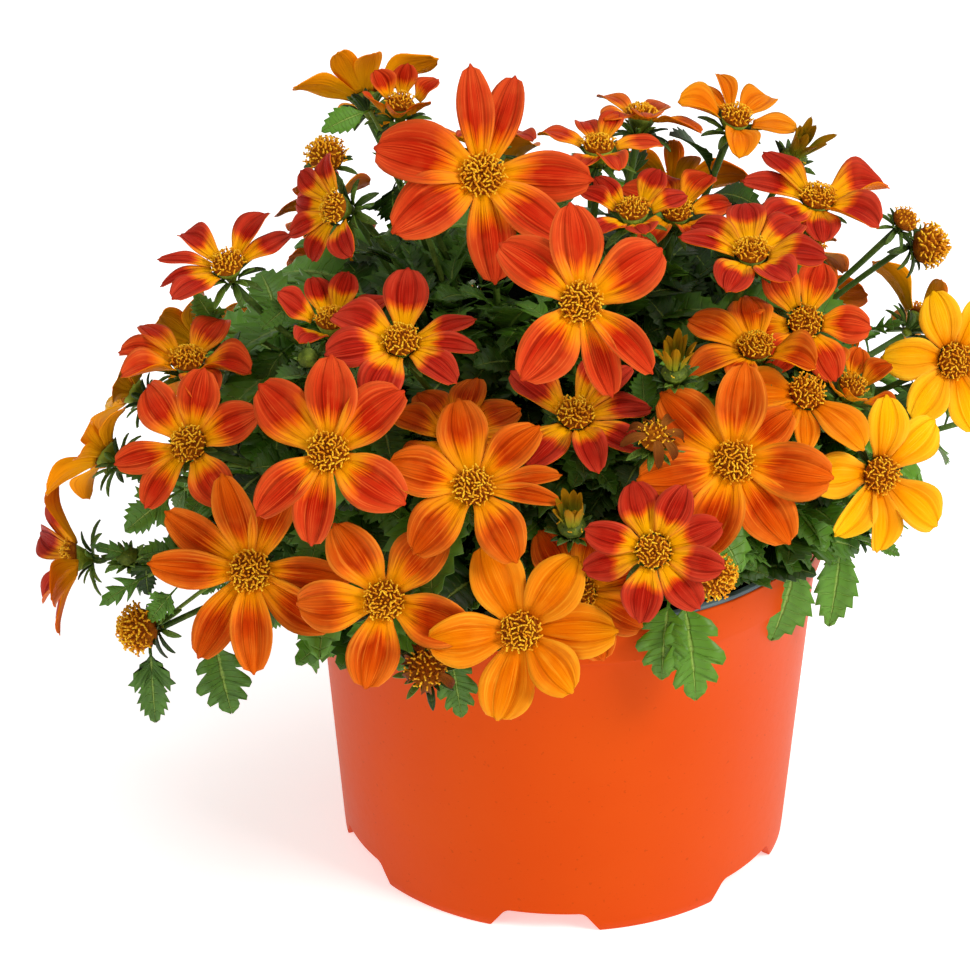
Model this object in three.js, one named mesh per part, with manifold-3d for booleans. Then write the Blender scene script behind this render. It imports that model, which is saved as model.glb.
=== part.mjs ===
// A garden bidens in full bloom, in a nursery pot of orange plastic.
// Millimetres, +Z up. The origin is the middle of the pot's foot, on the surface it stands on,
// and -Y is the front. Every leafy stem stands in its own hole in the soil, and every bloom sits
// on the green cup at the end of a stalk.
import * as THREE from "three";
import { mergeVertices } from "three/addons/utils/BufferGeometryUtils.js";
import Module from "manifold-3d";

const wasm = await Module();
wasm.setup();

// Driving dimensions
const POT = {
  height: 92.2,
  rimRadius: 65,
  footRadius: 56.5,
  footWidth: 2.4,
  wall: 1.5,
  lipWidth: 2.2,
  lipDepth: 2,
  bandHeight: 11,
  bandProud: 0.8,
  baseUnderside: 5.8,
  segments: 42,
};
const NOTCH = { count: 6, height: 5.5, footWidth: 34, topWidth: 22, turn: -4 };
const DRAIN = { radius: 4, ring: 38, sides: 8 };
const SOIL = { top: 83, crumb: 1.2, lumps: 5, segments: 20, rings: [0.5, 1] };
const GAP = 0.3;
const SLIVER = 0.03;
const STEM = { radius: 2, holeRadius: 2.5, depth: 14, sides: 6, ring: 32 };
const DISC = { radius: 5.9, root: 5.5, crown: 3.2, height: 3, floret: 0.5, base: 1 };
const PETAL = {
  halfWidth: 0.29,
  shoulder: 0.72,
  thick: 0.9,
  hollow: 0.22,
  layerLift: 5,
  rootSpread: 32,
  spacing: 0.6,
};
const OPEN = { lift: 22, curl: 38 };
const CUP = { radius: 2.6, length: 6, stalk: 1, flare: 1.3, elbow: 0.6, elbowDrop: 3, sides: 3 };
const LEAF = {
  thick: 1.2,
  rootDepth: 2.4,
  hollow: 0.3,
  bend: 55,
  turn: 110,
  leastLean: 0.4,
  mostLean: 0.9,
  shortest: 27,
  longest: 40,
  apart: 3.4,
  tries: 16,
  count: 180,
  lowest: 0.14,
  highest: 0.99,
};
const CORE = {
  x: -5,
  y: 3,
  z: 84,
  rx: 76,
  ry: 60,
  rz: 78,
  underside: 94,
  rows: [94, 115, 135, 151],
  stalkFoot: 0.91,
};
const REGION = { innerRadius: 20.5, clearance: 0.5 };
const CLEAR = { beside: 1.5, behind: 2.4, ahead: 40 };
const FRONT_VIEW_TILT = 28;
const STEEPEST_VIEW = 0.35;

// The planes between the leafy stems, as angles from the front towards +X.
const BORDERS = [-124, -94, -59, -13, 17.6, 49.9, 95.4, 132, 178];

// The blooms: where the petals meet, which way the disc faces (turn from the front towards +X,
// tilt above level), the reach of the petals, their colour, and each petal's angle as seen from
// the front, a little from above. A shorter petal is an angle and its share of the reach.
// lift and curl are for blooms that aren't wide open.
const BLOOMS = [
  {
    at: [-21, -24, 193], turn: 5, tilt: 38, reach: 27, colour: "ember",
    petals: [97, 67, 358, 318, 280, 212, 163],
  },
  {
    at: [2, -62, 178], turn: 8, tilt: 30, reach: 24, colour: "ember",
    petals: [96, 30, 318, 288, 232, 141],
  },
  {
    at: [-40, -54, 164], turn: -5, tilt: 55, reach: 19, colour: "fire",
    petals: [82, 15, 354, 321, 243, 195, 153],
  },
  {
    at: [-91, -51, 135], turn: -15, tilt: 35, reach: 19, colour: "ember",
    petals: [74, 133, 200, 234, 304, 22],
  },
  {
    at: [-57, -74, 145], turn: -5, tilt: 35, reach: 23, colour: "ember",
    petals: [83, 37, 323, 258, 221, 141],
  },
  {
    at: [-23, -78, 138], turn: 0, tilt: 38, reach: 21.5, colour: "orange",
    petals: [105, 46, 8, 349, 303, 223, 166],
  },
  {
    at: [1, -61, 148], turn: 5, tilt: 58, reach: 19, colour: "fire",
    petals: [150, 70, 40, 8, 325, 290, 228],
  },
  {
    at: [38, -71, 141], turn: 5, tilt: 28, reach: 24, colour: "orange",
    petals: [86, [43, 0.7], 351, 301, 254, 196, 141],
  },
  {
    at: [19, -86.5, 125.5], turn: 0, tilt: 28, reach: 17.5, colour: "fire",
    petals: [110, 65, 24, 345, 305, 253, 195, 159],
  },
  {
    at: [-12, -90, 106], turn: 0, tilt: 22, reach: 23, colour: "gold",
    petals: [116, 53, 3, [313, 0.8], 256, 187],
  },
  {
    at: [-44, -84, 111], turn: -5, tilt: 25, reach: 22, colour: "ember",
    petals: [54, 118, 187, 260, 340],
  },
  {
    at: [-76, -70, 111], turn: 0, tilt: 25, reach: 25, colour: "ember",
    petals: [101, 67, 355, 321, 270, 235, 181, 148],
  },
  {
    at: [-82, -25, 170], turn: -25, tilt: 60, reach: 17.5, colour: "fire",
    petals: [52, 23, 148, 178, 193, 222],
  },
  {
    at: [-92, -29.5, 146.5], turn: -10, tilt: 72, reach: 18, colour: "ember",
    petals: [173, 148, 48, 345, 200, 300],
  },
  {
    at: [-56, -25, 185], turn: -50, tilt: 25, reach: 15, colour: "fire",
    petals: [100, 130, 170, 215, 245, 290],
  },
  {
    at: [-57, -39, 162], turn: -10, tilt: 80, reach: 15, colour: "fire",
    petals: [10, 60, 120, 170, 230, 320], lift: 40, curl: 20,
  },
  {
    at: [-113, -32, 123], turn: -120, tilt: 25, reach: 19, colour: "orange",
    petals: [180, 75, 220, 255, 118, 310],
  },
  {
    at: [-122, -28, 91], turn: -82, tilt: 5, reach: 20, colour: "fire",
    petals: [95, 130, 215, 245, 265, 300], lift: 34, curl: 30,
  },
  {
    at: [-50, 27, 191], turn: -165, tilt: 35, reach: 21, colour: "gold",
    petals: [20, 75, 135, 175, 250, 310],
  },
  {
    at: [-41, 9, 197], turn: 0, tilt: 80, reach: 12, colour: "ember",
    petals: [20, 80, 140, 200, 260, 320], lift: 52, curl: 10,
  },
  {
    at: [18, 13, 192], turn: 150, tilt: 70, reach: 14, colour: "ember",
    petals: [30, 100, 150, 200, 280, 340],
  },
  {
    at: [7, -9.5, 194], turn: 0, tilt: 82, reach: 18, colour: "orange",
    petals: [5, 60, 115, 170, [235, 0.75], 300],
  },
  {
    at: [41, 14, 191], turn: 35, tilt: 55, reach: 15.5, colour: "gold",
    petals: [340, 40, 110, 135, 170, 275],
  },
  {
    at: [60, -9, 180], turn: 10, tilt: 58, reach: 19, colour: "fire",
    petals: [15, 330, 140, 165, 215, 275],
  },
  {
    at: [15, -25.5, 184.5], turn: -5, tilt: 75, reach: 14, colour: "fire",
    petals: [168, 140, 45, 10, 220, 290], lift: 34, curl: 30,
  },
  {
    at: [26, -8, 176], turn: 15, tilt: 65, reach: 15, colour: "ember",
    petals: [47, 10, 110, 160, 220, 300],
  },
  {
    at: [43, -35, 178], turn: 0, tilt: 60, reach: 18, colour: "fire",
    petals: [100, 150, 175, 230, 310, 30, 355],
  },
  {
    at: [56, -36, 160], turn: 5, tilt: 45, reach: 16.5, colour: "ember",
    petals: [125, 70, 355, 300, 240, 190],
  },
  {
    at: [44, -47.5, 159], turn: -5, tilt: 65, reach: 19, colour: "orange",
    petals: [95, 160, 197, [235, 0.7], [340, 0.8]],
  },
  {
    at: [56, -51.5, 149], turn: 25, tilt: 50, reach: 20, colour: "gold",
    petals: [180, 225, [262, 0.7], 312],
  },
  {
    at: [67.6, -40.2, 145], turn: 60, tilt: 65, reach: 12.5, colour: "orange",
    petals: [20, 80, 140, 200, 260, 320], lift: 50, curl: 20,
  },
  {
    at: [74, -55, 129], turn: 20, tilt: 22, reach: 19.5, colour: "gold",
    petals: [86, 44, 320, 268, 235, 178],
  },
  {
    at: [94, -19, 141], turn: 10, tilt: 25, reach: 18.5, colour: "gold",
    petals: [115, 172, 228, 285, 340, 60],
  },
  {
    at: [-27, -57, 140.5], turn: -5, tilt: 65, reach: 17, colour: "orange",
    petals: [165, 125, 75, 25, 335, 215],
  },
  {
    at: [2, -68, 104], turn: 5, tilt: 30, reach: 18, colour: "orange",
    petals: [125, 75, 25, 335, 290],
  },
  {
    at: [118, 24, 112], turn: 150, tilt: 20, reach: 18, colour: "gold",
    petals: [10, 65, 125, 180, 245, 300],
  },
  {
    at: [92, 50, 118], turn: 130, tilt: 22, reach: 20, colour: "orange",
    petals: [25, 80, 130, 185, 235, 300],
  },
  {
    at: [62, 72, 112], turn: 150, tilt: 15, reach: 21, colour: "ember",
    petals: [0, 55, 105, 160, 215, 265, 315],
  },
  {
    at: [25, 89, 118], turn: 172, tilt: 18, reach: 22, colour: "fire",
    petals: [15, 70, 130, 190, 245, 310],
  },
  {
    at: [-18, 91.5, 112], turn: 185, tilt: 15, reach: 20, colour: "gold",
    petals: [40, 90, 145, 200, 265, 330],
  },
  {
    at: [-58, 81, 116], turn: 205, tilt: 20, reach: 21, colour: "ember",
    petals: [5, 60, 110, 165, 220, 275, 320],
  },
  {
    at: [-95, 56, 108], turn: 225, tilt: 15, reach: 20, colour: "orange",
    petals: [30, 85, 140, 200, 255, 315],
  },
  {
    at: [-110, 22, 112], turn: 250, tilt: 25, reach: 17, colour: "gold",
    petals: [15, 75, 135, 195, 255, 315],
  },
  {
    at: [62, 46, 142], turn: 135, tilt: 40, reach: 20, colour: "fire",
    petals: [20, 75, 130, 185, 240, 300],
  },
  {
    at: [28, 62, 150], turn: 165, tilt: 38, reach: 22, colour: "ember",
    petals: [0, 50, 100, 150, 205, 260, 310],
  },
  {
    at: [-18, 64, 152], turn: 190, tilt: 40, reach: 21, colour: "orange",
    petals: [35, 90, 145, 205, 260, 320],
  },
  {
    at: [-62, 50, 150], turn: 220, tilt: 40, reach: 20, colour: "fire",
    petals: [10, 70, 125, 180, 240, 300],
  },
  {
    at: [-20, 38, 174], turn: 180, tilt: 62, reach: 20, colour: "ember",
    petals: [25, 80, 130, 185, 240, 295, 335],
  },
];

// Spent heads and buds on stalks of their own: where they sit, and their radius.
const HEADS = [
  { at: [-59, -4, 190], radius: 4.6 },
  { at: [83, 0, 171], radius: 3.6 },
  { at: [90, 2, 162], radius: 5 },
  { at: [-106, -51, 84], radius: 5.4 },
  { at: [35, -80, 115], radius: 5 },
  { at: [19.5, -75, 150.5], radius: 4.2 },
  { at: [56, 11, 183], radius: 4.5 },
  { at: [-34, -88, 95], radius: 5 },
  { at: [0, -80, 130], radius: 4.5 },
  { at: [24, -65, 163], radius: 4.2 },
  { at: [-107, -48, 103], radius: 3.6 },
  { at: [-62, -55, 160], radius: 3.2 },
];

const COLOURS = {
  ember: new THREE.Color(0.85, 0.2, 0.03),
  fire: new THREE.Color(0.68, 0.08, 0.03),
  orange: new THREE.Color(0.93, 0.34, 0.03),
  gold: new THREE.Color(0.97, 0.5, 0.03),
};

const RADIANS = Math.PI / 180;
const UP = new THREE.Vector3(0, 0, 1);

const part = new THREE.Group();
part.name = "potted_bidens";

function vec(x, y, z) {
  return new THREE.Vector3(x, y, z);
}

// A unit vector in the ground plane, turned from the front towards +X.
function heading(turn) {
  return vec(Math.sin(turn * RADIANS), -Math.cos(turn * RADIANS), 0);
}

// Each whole number gives its own fixed draw between 0 and 1.
function makeDraw(seed) {
  let state = seed;
  return () => {
    state = (state * 16807) % 2147483647;
    return state / 2147483647;
  };
}

// Solids: a closed geometry becomes a manifold for joins and cuts, and comes back as a geometry.
function solidOf(geometry) {
  const bare = geometry.index ? geometry.clone() : geometry;
  bare.deleteAttribute("normal");
  bare.deleteAttribute("uv");
  const merged = mergeVertices(bare, 1e-4);
  const mesh = new wasm.Mesh({
    numProp: 3,
    vertProperties: new Float32Array(merged.attributes.position.array),
    triVerts: new Uint32Array(merged.index.array),
  });
  const solid = new wasm.Manifold(mesh);
  if (solid.volume() <= 0) {
    throw new Error("a skin's loops run the wrong way round");
  }
  return solid;
}

function geometryOf(solid) {
  const mesh = solid.getMesh();
  const geometry = new THREE.BufferGeometry();
  geometry.setAttribute("position", new THREE.BufferAttribute(new Float32Array(mesh.vertProperties), 3));
  geometry.setIndex(new THREE.BufferAttribute(new Uint32Array(mesh.triVerts), 1));
  geometry.computeVertexNormals();
  return geometry;
}

// Joins solids that grow together, fills any hollow that this seals, and leaves out loose scraps.
function joined(solids) {
  const whole = solids.reduce((all, solid) => all.add(solid)).simplify(SLIVER);
  const larger = (one, other) => (other.volume() > one.volume() ? other : one);
  return whole.decompose().reduce(larger);
}

function place(name, solid, material) {
  const mesh = new THREE.Mesh(geometryOf(solid), material);
  mesh.name = name;
  part.add(mesh);
}

function material(colour, roughness) {
  return new THREE.MeshStandardMaterial({ color: colour, roughness, metalness: 0 });
}

// A closed skin: points are added once and shared by their number, faces turn anticlockwise
// as seen from outside.
class Skin {
  points = [];
  faces = [];

  add(...points) {
    const first = this.points.length;
    this.points.push(...points);
    return points.map((_, index) => first + index);
  }

  // A band of faces between two loops of the same length, or a loop and one point.
  band(near, far) {
    near.forEach((corner, side) => {
      const next = (side + 1) % near.length;
      this.faces.push(corner, near[next], far[next] ?? far[0]);
      if (far.length > 1) {
        this.faces.push(corner, far[next], far[side]);
      }
    });
  }

  // A band between two rings of any lengths, matched by their corners' angles.
  zip(outer, inner, anglesOut, anglesIn, facingOut) {
    const total = outer.length + inner.length;
    const outAt = (step) => anglesOut[step % outer.length] + 360 * Math.floor(step / outer.length);
    const inAt = (step) => anglesIn[step % inner.length] + 360 * Math.floor(step / inner.length);
    let out = 0;
    let into = 0;
    while (out + into < total) {
      const ahead = into >= inner.length || (out < outer.length && outAt(out + 1) <= inAt(into + 1));
      const here = outer[out % outer.length];
      const there = inner[into % inner.length];
      const next = ahead ? outer[(out + 1) % outer.length] : inner[(into + 1) % inner.length];
      this.faces.push(...(facingOut ? [here, next, there] : [here, there, next]));
      out += ahead ? 1 : 0;
      into += ahead ? 0 : 1;
    }
  }

  // A flat fan that closes a loop, on the side from which it turns anticlockwise.
  cap(loop) {
    for (let side = 1; side + 1 < loop.length; side += 1) {
      this.faces.push(loop[0], loop[side], loop[side + 1]);
    }
  }

  solid() {
    const geometry = new THREE.BufferGeometry();
    const places = this.points.flatMap((point) => point.toArray());
    geometry.setAttribute("position", new THREE.Float32BufferAttribute(places, 3));
    geometry.setIndex(this.faces);
    return solidOf(geometry);
  }
}

// A solid through loops of as many points each, which turn anticlockwise as seen from the last.
// A last loop of one point is a tip.
function skin(loops) {
  const shell = new Skin();
  const corners = loops.map((loop) => shell.add(...loop));
  shell.cap([...corners[0]].reverse());
  corners.slice(1).forEach((corner, row) => shell.band(corners[row], corner));
  shell.cap(corners.at(-1));
  return shell.solid();
}

// A round loop of points about a centre, square to an axis.
function ring(centre, axis, radius, sides) {
  const across = Math.abs(axis.z) > 0.9 ? vec(1, 0, 0) : UP.clone();
  const first = across.cross(axis).normalize();
  const second = axis.clone().cross(first).normalize();
  return Array.from({ length: sides }, (_, side) => {
    const angle = (side * 2 * Math.PI) / sides;
    return centre.clone()
      .addScaledVector(first, radius * Math.cos(angle))
      .addScaledVector(second, radius * Math.sin(angle));
  });
}

// The pot: a turned shell with a band round the rim, a raised base and a notched foot.
function wallRadius(z) {
  const slope = (POT.rimRadius - POT.bandProud - POT.footRadius) / POT.height;
  return POT.footRadius + slope * z;
}

function potSolid() {
  const bandFoot = POT.height - POT.bandHeight;
  const lipFoot = POT.height - POT.lipDepth;
  const floor = POT.baseUnderside + POT.wall;
  const profile = [
    [0, POT.baseUnderside],
    [wallRadius(POT.baseUnderside) - POT.footWidth, POT.baseUnderside],
    [POT.footRadius - POT.footWidth, 0],
    [POT.footRadius, 0],
    [wallRadius(bandFoot), bandFoot],
    [POT.rimRadius - 0.2, bandFoot + POT.bandProud],
    [POT.rimRadius, POT.height],
    [POT.rimRadius - POT.lipWidth, POT.height],
    [wallRadius(lipFoot) - POT.wall, lipFoot - POT.wall],
    [wallRadius(floor) - POT.wall, floor],
    [0, floor],
  ].map(([radius, z]) => new THREE.Vector2(radius, z));
  const shell = new THREE.LatheGeometry(profile, POT.segments);
  shell.rotateX(Math.PI / 2);
  let pot = solidOf(shell);
  for (let index = 0; index < NOTCH.count; index += 1) {
    const turn = NOTCH.turn + (index * 360) / NOTCH.count;
    pot = pot.subtract(notchSolid(turn)).subtract(drainSolid(turn));
  }
  return pot;
}

function notchSolid(turn) {
  const inside = POT.footRadius - 3 * POT.footWidth;
  const outside = POT.footRadius + 2 * POT.footWidth;
  const loop = (radius) => [
    [-NOTCH.footWidth / 2, -1],
    [NOTCH.footWidth / 2, -1],
    [NOTCH.topWidth / 2, NOTCH.height],
    [-NOTCH.topWidth / 2, NOTCH.height],
  ].map(([angle, z]) => heading(turn + angle).multiplyScalar(radius).setZ(z));
  return skin([loop(inside), loop(outside)]);
}

function drainSolid(turn) {
  const centre = heading(turn).multiplyScalar(DRAIN.ring);
  const bottom = ring(centre.clone().setZ(POT.baseUnderside - 1), UP, DRAIN.radius, DRAIN.sides);
  const top = ring(centre.clone().setZ(POT.baseUnderside + POT.wall + 1), UP, DRAIN.radius, DRAIN.sides);
  return skin([bottom, top]);
}

// The soil: a root ball with a crumbly top, and a plain hole for each leafy stem.
function soilSolid() {
  const bottom = POT.baseUnderside + POT.wall + GAP;
  const inset = POT.wall + GAP;
  const loops = [circleLoop(wallRadius(bottom) - inset, () => bottom)];
  for (const share of [...SOIL.rings].reverse()) {
    const radius = share * (wallRadius(SOIL.top) - inset);
    const lump = (turn) => Math.sin(SOIL.lumps * turn * RADIANS + 9 * share);
    loops.push(circleLoop(radius, (turn) => SOIL.top + SOIL.crumb * lump(turn)));
  }
  loops.push([vec(0, 0, SOIL.top)]);
  return regions().map(stemPlace).reduce((soil, place) => soil.subtract(holeSolid(place)), skin(loops));
}

function circleLoop(radius, heightAt) {
  return Array.from({ length: SOIL.segments }, (_, side) => {
    const turn = (side * 360) / SOIL.segments;
    return heading(turn).multiplyScalar(radius).setZ(heightAt(turn));
  });
}

function holeSolid(place) {
  const foot = place.clone().setZ(SOIL.top - STEM.depth - GAP);
  const top = place.clone().setZ(SOIL.top + 3 * SOIL.crumb);
  return skin([ring(foot, UP, STEM.holeRadius, STEM.sides), ring(top, UP, STEM.holeRadius, STEM.sides)]);
}

// The ground each leafy stem fills: a middle column, and a wedge between each two borders.
function regions() {
  const wedges = BORDERS.map((from, index) => {
    const to = BORDERS[(index + 1) % BORDERS.length];
    return { from, to: to > from ? to : to + 360 };
  });
  return [null, ...wedges];
}

function middleOf(region) {
  return (region.from + region.to) / 2;
}

function stemPlace(region) {
  return region ? heading(middleOf(region)).multiplyScalar(STEM.ring) : vec(0, 0, 0);
}

// How far a point lies inside a region: it is below zero outside it.
function depthIn(region, point) {
  const radius = Math.hypot(point.x, point.y);
  if (!region) {
    return REGION.innerRadius - radius;
  }
  const past = (turn) => point.x * Math.cos(turn * RADIANS) + point.y * Math.sin(turn * RADIANS);
  return Math.min(radius - REGION.innerRadius, past(region.from), -past(region.to));
}

function regionOf(point) {
  const all = regions();
  return all.reduce((best, region) => (depthIn(region, point) > depthIn(best, point) ? region : best));
}

// The dense middle of the bush: an ellipsoid over a flat underside, cut to each region.
function coreRadius(turn, z) {
  const way = heading(turn);
  const level = 1 - ((z - CORE.z) / CORE.rz) ** 2;
  const a = (way.x / CORE.rx) ** 2 + (way.y / CORE.ry) ** 2;
  const b = (way.x * CORE.x) / CORE.rx ** 2 + (way.y * CORE.y) / CORE.ry ** 2;
  const c = (CORE.x / CORE.rx) ** 2 + (CORE.y / CORE.ry) ** 2 - level;
  return (b + Math.sqrt(b * b - a * c)) / a;
}

function coreHeight(point) {
  const across = ((point.x - CORE.x) / CORE.rx) ** 2 + ((point.y - CORE.y) / CORE.ry) ** 2;
  return CORE.z + CORE.rz * Math.sqrt(Math.max(0, 1 - across));
}

function coreSolid(region) {
  if (!region) {
    const radius = REGION.innerRadius - REGION.clearance;
    const sides = BORDERS.length;
    const shoulder = coreHeight(vec(radius, 0, 0)) - 4;
    return skin([
      ring(vec(0, 0, CORE.underside), UP, radius, sides),
      ring(vec(0, 0, shoulder), UP, radius, sides),
      [vec(0, 0, shoulder + 4)],
    ]);
  }
  const inner = REGION.innerRadius + REGION.clearance;
  const slice = (turn, inwards) => {
    const side = heading(turn + 90).multiplyScalar(inwards * REGION.clearance);
    const at = (radius, z) => heading(turn).multiplyScalar(radius).add(side).setZ(z);
    const inside = at(inner, 0);
    return [
      at(inner, CORE.underside),
      ...CORE.rows.map((z) => at(coreRadius(turn, z), z)),
      inside.setZ(coreHeight(inside)),
    ];
  };
  return skin([slice(region.to, -1), slice(middleOf(region), 0), slice(region.from, 1)]);
}

// The loops of a blade with sharp edges and a thicker rib.
function bladeLoop({ left, rib, right, normal }, thick) {
  return [
    rib.clone().addScaledVector(normal, thick / 2),
    right,
    rib.clone().addScaledVector(normal, -thick / 2),
    left,
  ];
}

// A petal is widest at the first of these shares of its length.
const PETAL_STATIONS = [
  { share: 0.45, width: 1 },
  { share: 0.8, width: PETAL.shoulder },
];

// A bloom's own directions.
function bloomFrame(bloom) {
  const level = Math.cos(bloom.tilt * RADIANS);
  const axis = heading(bloom.turn).multiplyScalar(level).setZ(Math.sin(bloom.tilt * RADIANS));
  const first = heading(bloom.turn + 90);
  return {
    axis,
    first,
    second: axis.clone().cross(first),
    centre: vec(...bloom.at),
    lift: bloom.lift ?? OPEN.lift,
    curl: (bloom.curl ?? OPEN.curl) * RADIANS,
    reach: bloom.reach,
  };
}

// A petal's rib is an arc that rises from the disc and bends back.
function petalPath(frame, share, liftMore = 0) {
  const length = frame.reach - DISC.root;
  const lift = (frame.lift + liftMore) * RADIANS;
  const slope = lift - frame.curl * share;
  return {
    out: DISC.root + (length * (Math.sin(lift) - Math.sin(slope))) / frame.curl,
    up: (length * (Math.cos(slope) - Math.cos(lift))) / frame.curl,
    slope,
  };
}

// A petal's angle in the bloom's own plane, from its angle as seen from the front.
function planeAngle(frame, angle) {
  const look = vec(0, Math.cos(FRONT_VIEW_TILT * RADIANS), -Math.sin(FRONT_VIEW_TILT * RADIANS));
  const right = vec(1, 0, 0);
  const above = right.clone().cross(look);
  const seen = right.multiplyScalar(Math.cos(angle * RADIANS))
    .addScaledVector(above, Math.sin(angle * RADIANS));
  const facing = look.dot(frame.axis);
  const steady = Math.sign(facing) * Math.max(Math.abs(facing), STEEPEST_VIEW);
  seen.addScaledVector(look, -seen.dot(frame.axis) / steady);
  return (Math.atan2(seen.dot(frame.second), seen.dot(frame.first)) / RADIANS + 360) % 360;
}

// The petals in turn, each as wide as its neighbours leave room for, in layers that pass clear.
function petalsOf(bloom, frame) {
  const plans = bloom.petals
    .map((entry) => (Array.isArray(entry) ? entry : [entry, 1]))
    .map(([seen, length]) => ({ angle: planeAngle(frame, seen), length }))
    .sort((one, other) => one.angle - other.angle);
  const next = (index) => plans[(index + 1) % plans.length];
  const gaps = plans.map(({ angle }, index) => (next(index).angle - angle + 360) % 360);
  return plans.map(({ angle, length }, index) => {
    const after = gaps[index];
    const before = gaps.at(index - 1);
    const widest = petalPath(frame, PETAL_STATIONS[0].share * length).out;
    const room = Math.min(after, before) * RADIANS * PETAL.spacing * widest;
    const odd = plans.length % 2 === 1 && index === plans.length - 1;
    return {
      angle,
      length,
      half: Math.min(PETAL.halfWidth * frame.reach, room),
      liftMore: odd ? 0 : PETAL.layerLift * (index % 2 ? 1 : -1),
      leftRoot: angle + Math.min(after / 2, PETAL.rootSpread),
      rightRoot: angle - Math.min(before / 2, PETAL.rootSpread),
      sharesLeft: after / 2 < PETAL.rootSpread,
    };
  });
}

function petalBlade(frame, petal) {
  const way = frame.first.clone().multiplyScalar(Math.cos(petal.angle * RADIANS))
    .addScaledVector(frame.second, Math.sin(petal.angle * RADIANS));
  const across = frame.axis.clone().cross(way);
  const at = ({ out, up }) => frame.centre.clone()
    .addScaledVector(way, out)
    .addScaledVector(frame.axis, up);
  const loops = PETAL_STATIONS.map(({ share, width }) => {
    const spot = petalPath(frame, share * petal.length, petal.liftMore);
    const rib = at(spot);
    const normal = way.clone().multiplyScalar(-Math.sin(spot.slope))
      .addScaledVector(frame.axis, Math.cos(spot.slope));
    const half = width * petal.half;
    const edge = (sign) => rib.clone()
      .addScaledVector(across, sign * half)
      .addScaledVector(normal, PETAL.hollow * half);
    return bladeLoop({ left: edge(1), rib, right: edge(-1), normal }, PETAL.thick);
  });
  return [...loops, [at(petalPath(frame, petal.length, petal.liftMore))]];
}

// A bloom is one skin: petals that grow from the rim of a disc, which rises in rings of florets.
function bloomSolid(bloom) {
  const frame = bloomFrame(bloom);
  const shell = new Skin();
  const polar = (angle, radius, height) => frame.centre.clone()
    .addScaledVector(frame.first, radius * Math.cos(angle * RADIANS))
    .addScaledVector(frame.second, radius * Math.sin(angle * RADIANS))
    .addScaledVector(frame.axis, height);
  const petals = petalsOf(bloom, frame);
  const above = [];
  const below = [];
  let shared = null;
  const firstRight = shell.add(polar(petals[0].rightRoot, DISC.root, 0))[0];
  petals.forEach((petal, index) => {
    const right = shared ?? (index ? shell.add(polar(petal.rightRoot, DISC.root, 0))[0] : firstRight);
    const [top, bottom] = shell.add(
      polar(petal.angle, DISC.root, PETAL.thick / 2),
      polar(petal.angle, DISC.root, -PETAL.thick / 2),
    );
    const closing = index === petals.length - 1 && petal.sharesLeft;
    const left = closing ? firstRight : shell.add(polar(petal.leftRoot, DISC.root, 0))[0];
    shared = petal.sharesLeft ? left : null;
    if (!(index && right === above.at(-1)?.corner)) {
      above.push({ corner: right, angle: petal.rightRoot });
      below.push({ corner: right, angle: petal.rightRoot });
    }
    above.push({ corner: top, angle: petal.angle });
    below.push({ corner: bottom, angle: petal.angle });
    if (!closing) {
      above.push({ corner: left, angle: petal.leftRoot });
      below.push({ corner: left, angle: petal.leftRoot });
    }
    const loops = petalBlade(frame, petal).map((loop) => shell.add(...loop));
    const inner = [[top, right, bottom, left], ...loops.slice(0, -1)];
    inner.forEach((loop, row) => shell.band(loop, loops[row]));
  });
  const ringOf = (count, radius, height, bump) => {
    const angles = Array.from({ length: count }, (_, side) => petals[0].rightRoot + (side * 360) / count);
    const points = angles.map((angle, side) => polar(angle, radius, height + (side % 2 ? bump : -bump)));
    return { corners: shell.add(...points), angles };
  };
  const florets = ringOf(10, DISC.radius, DISC.height * 0.6, DISC.floret);
  const crown = ringOf(5, DISC.crown, DISC.height, DISC.floret);
  const base = ringOf(5, CUP.radius, -DISC.base, 0);
  const [middle] = shell.add(polar(0, 0, DISC.height));
  const rimOf = (rim) => [rim.map(({ corner }) => corner), rim.map(({ angle }) => angle)];
  const [topCorners, topAngles] = rimOf(above);
  const [backCorners, backAngles] = rimOf(below);
  shell.zip(topCorners, florets.corners, topAngles, florets.angles, true);
  shell.zip(florets.corners, crown.corners, florets.angles, crown.angles, true);
  shell.band(crown.corners, [middle]);
  shell.zip(backCorners, base.corners, backAngles, base.angles, false);
  shell.cap([...base.corners].reverse());
  return shell.solid();
}

// Stalks: from inside the core out to the cup under a bloom, or to a bud or spent head.
function coreFootOf(point) {
  const centre = vec(CORE.x, CORE.y, CORE.z);
  const way = point.clone().sub(centre);
  const size = Math.hypot(way.x / CORE.rx, way.y / CORE.ry, way.z / CORE.rz);
  const foot = centre.addScaledVector(way, CORE.stalkFoot / size);
  foot.z = Math.max(foot.z, CORE.underside + 3 * CUP.stalk);
  return foot;
}

// The point turned to a guide's own heading, and kept on the guide's side of the middle column.
function sameTurn(point, guide) {
  const guideRadius = Math.hypot(guide.x, guide.y);
  const inner = guideRadius > REGION.innerRadius ? REGION.innerRadius + 2 * CUP.stalk : 0;
  const radius = Math.max(inner, Math.hypot(point.x, point.y));
  return vec((guide.x * radius) / guideRadius, (guide.y * radius) / guideRadius, point.z);
}

function cupBase(bloom) {
  const frame = bloomFrame(bloom);
  return frame.centre.addScaledVector(frame.axis, -DISC.base - GAP - CUP.length);
}

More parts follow.
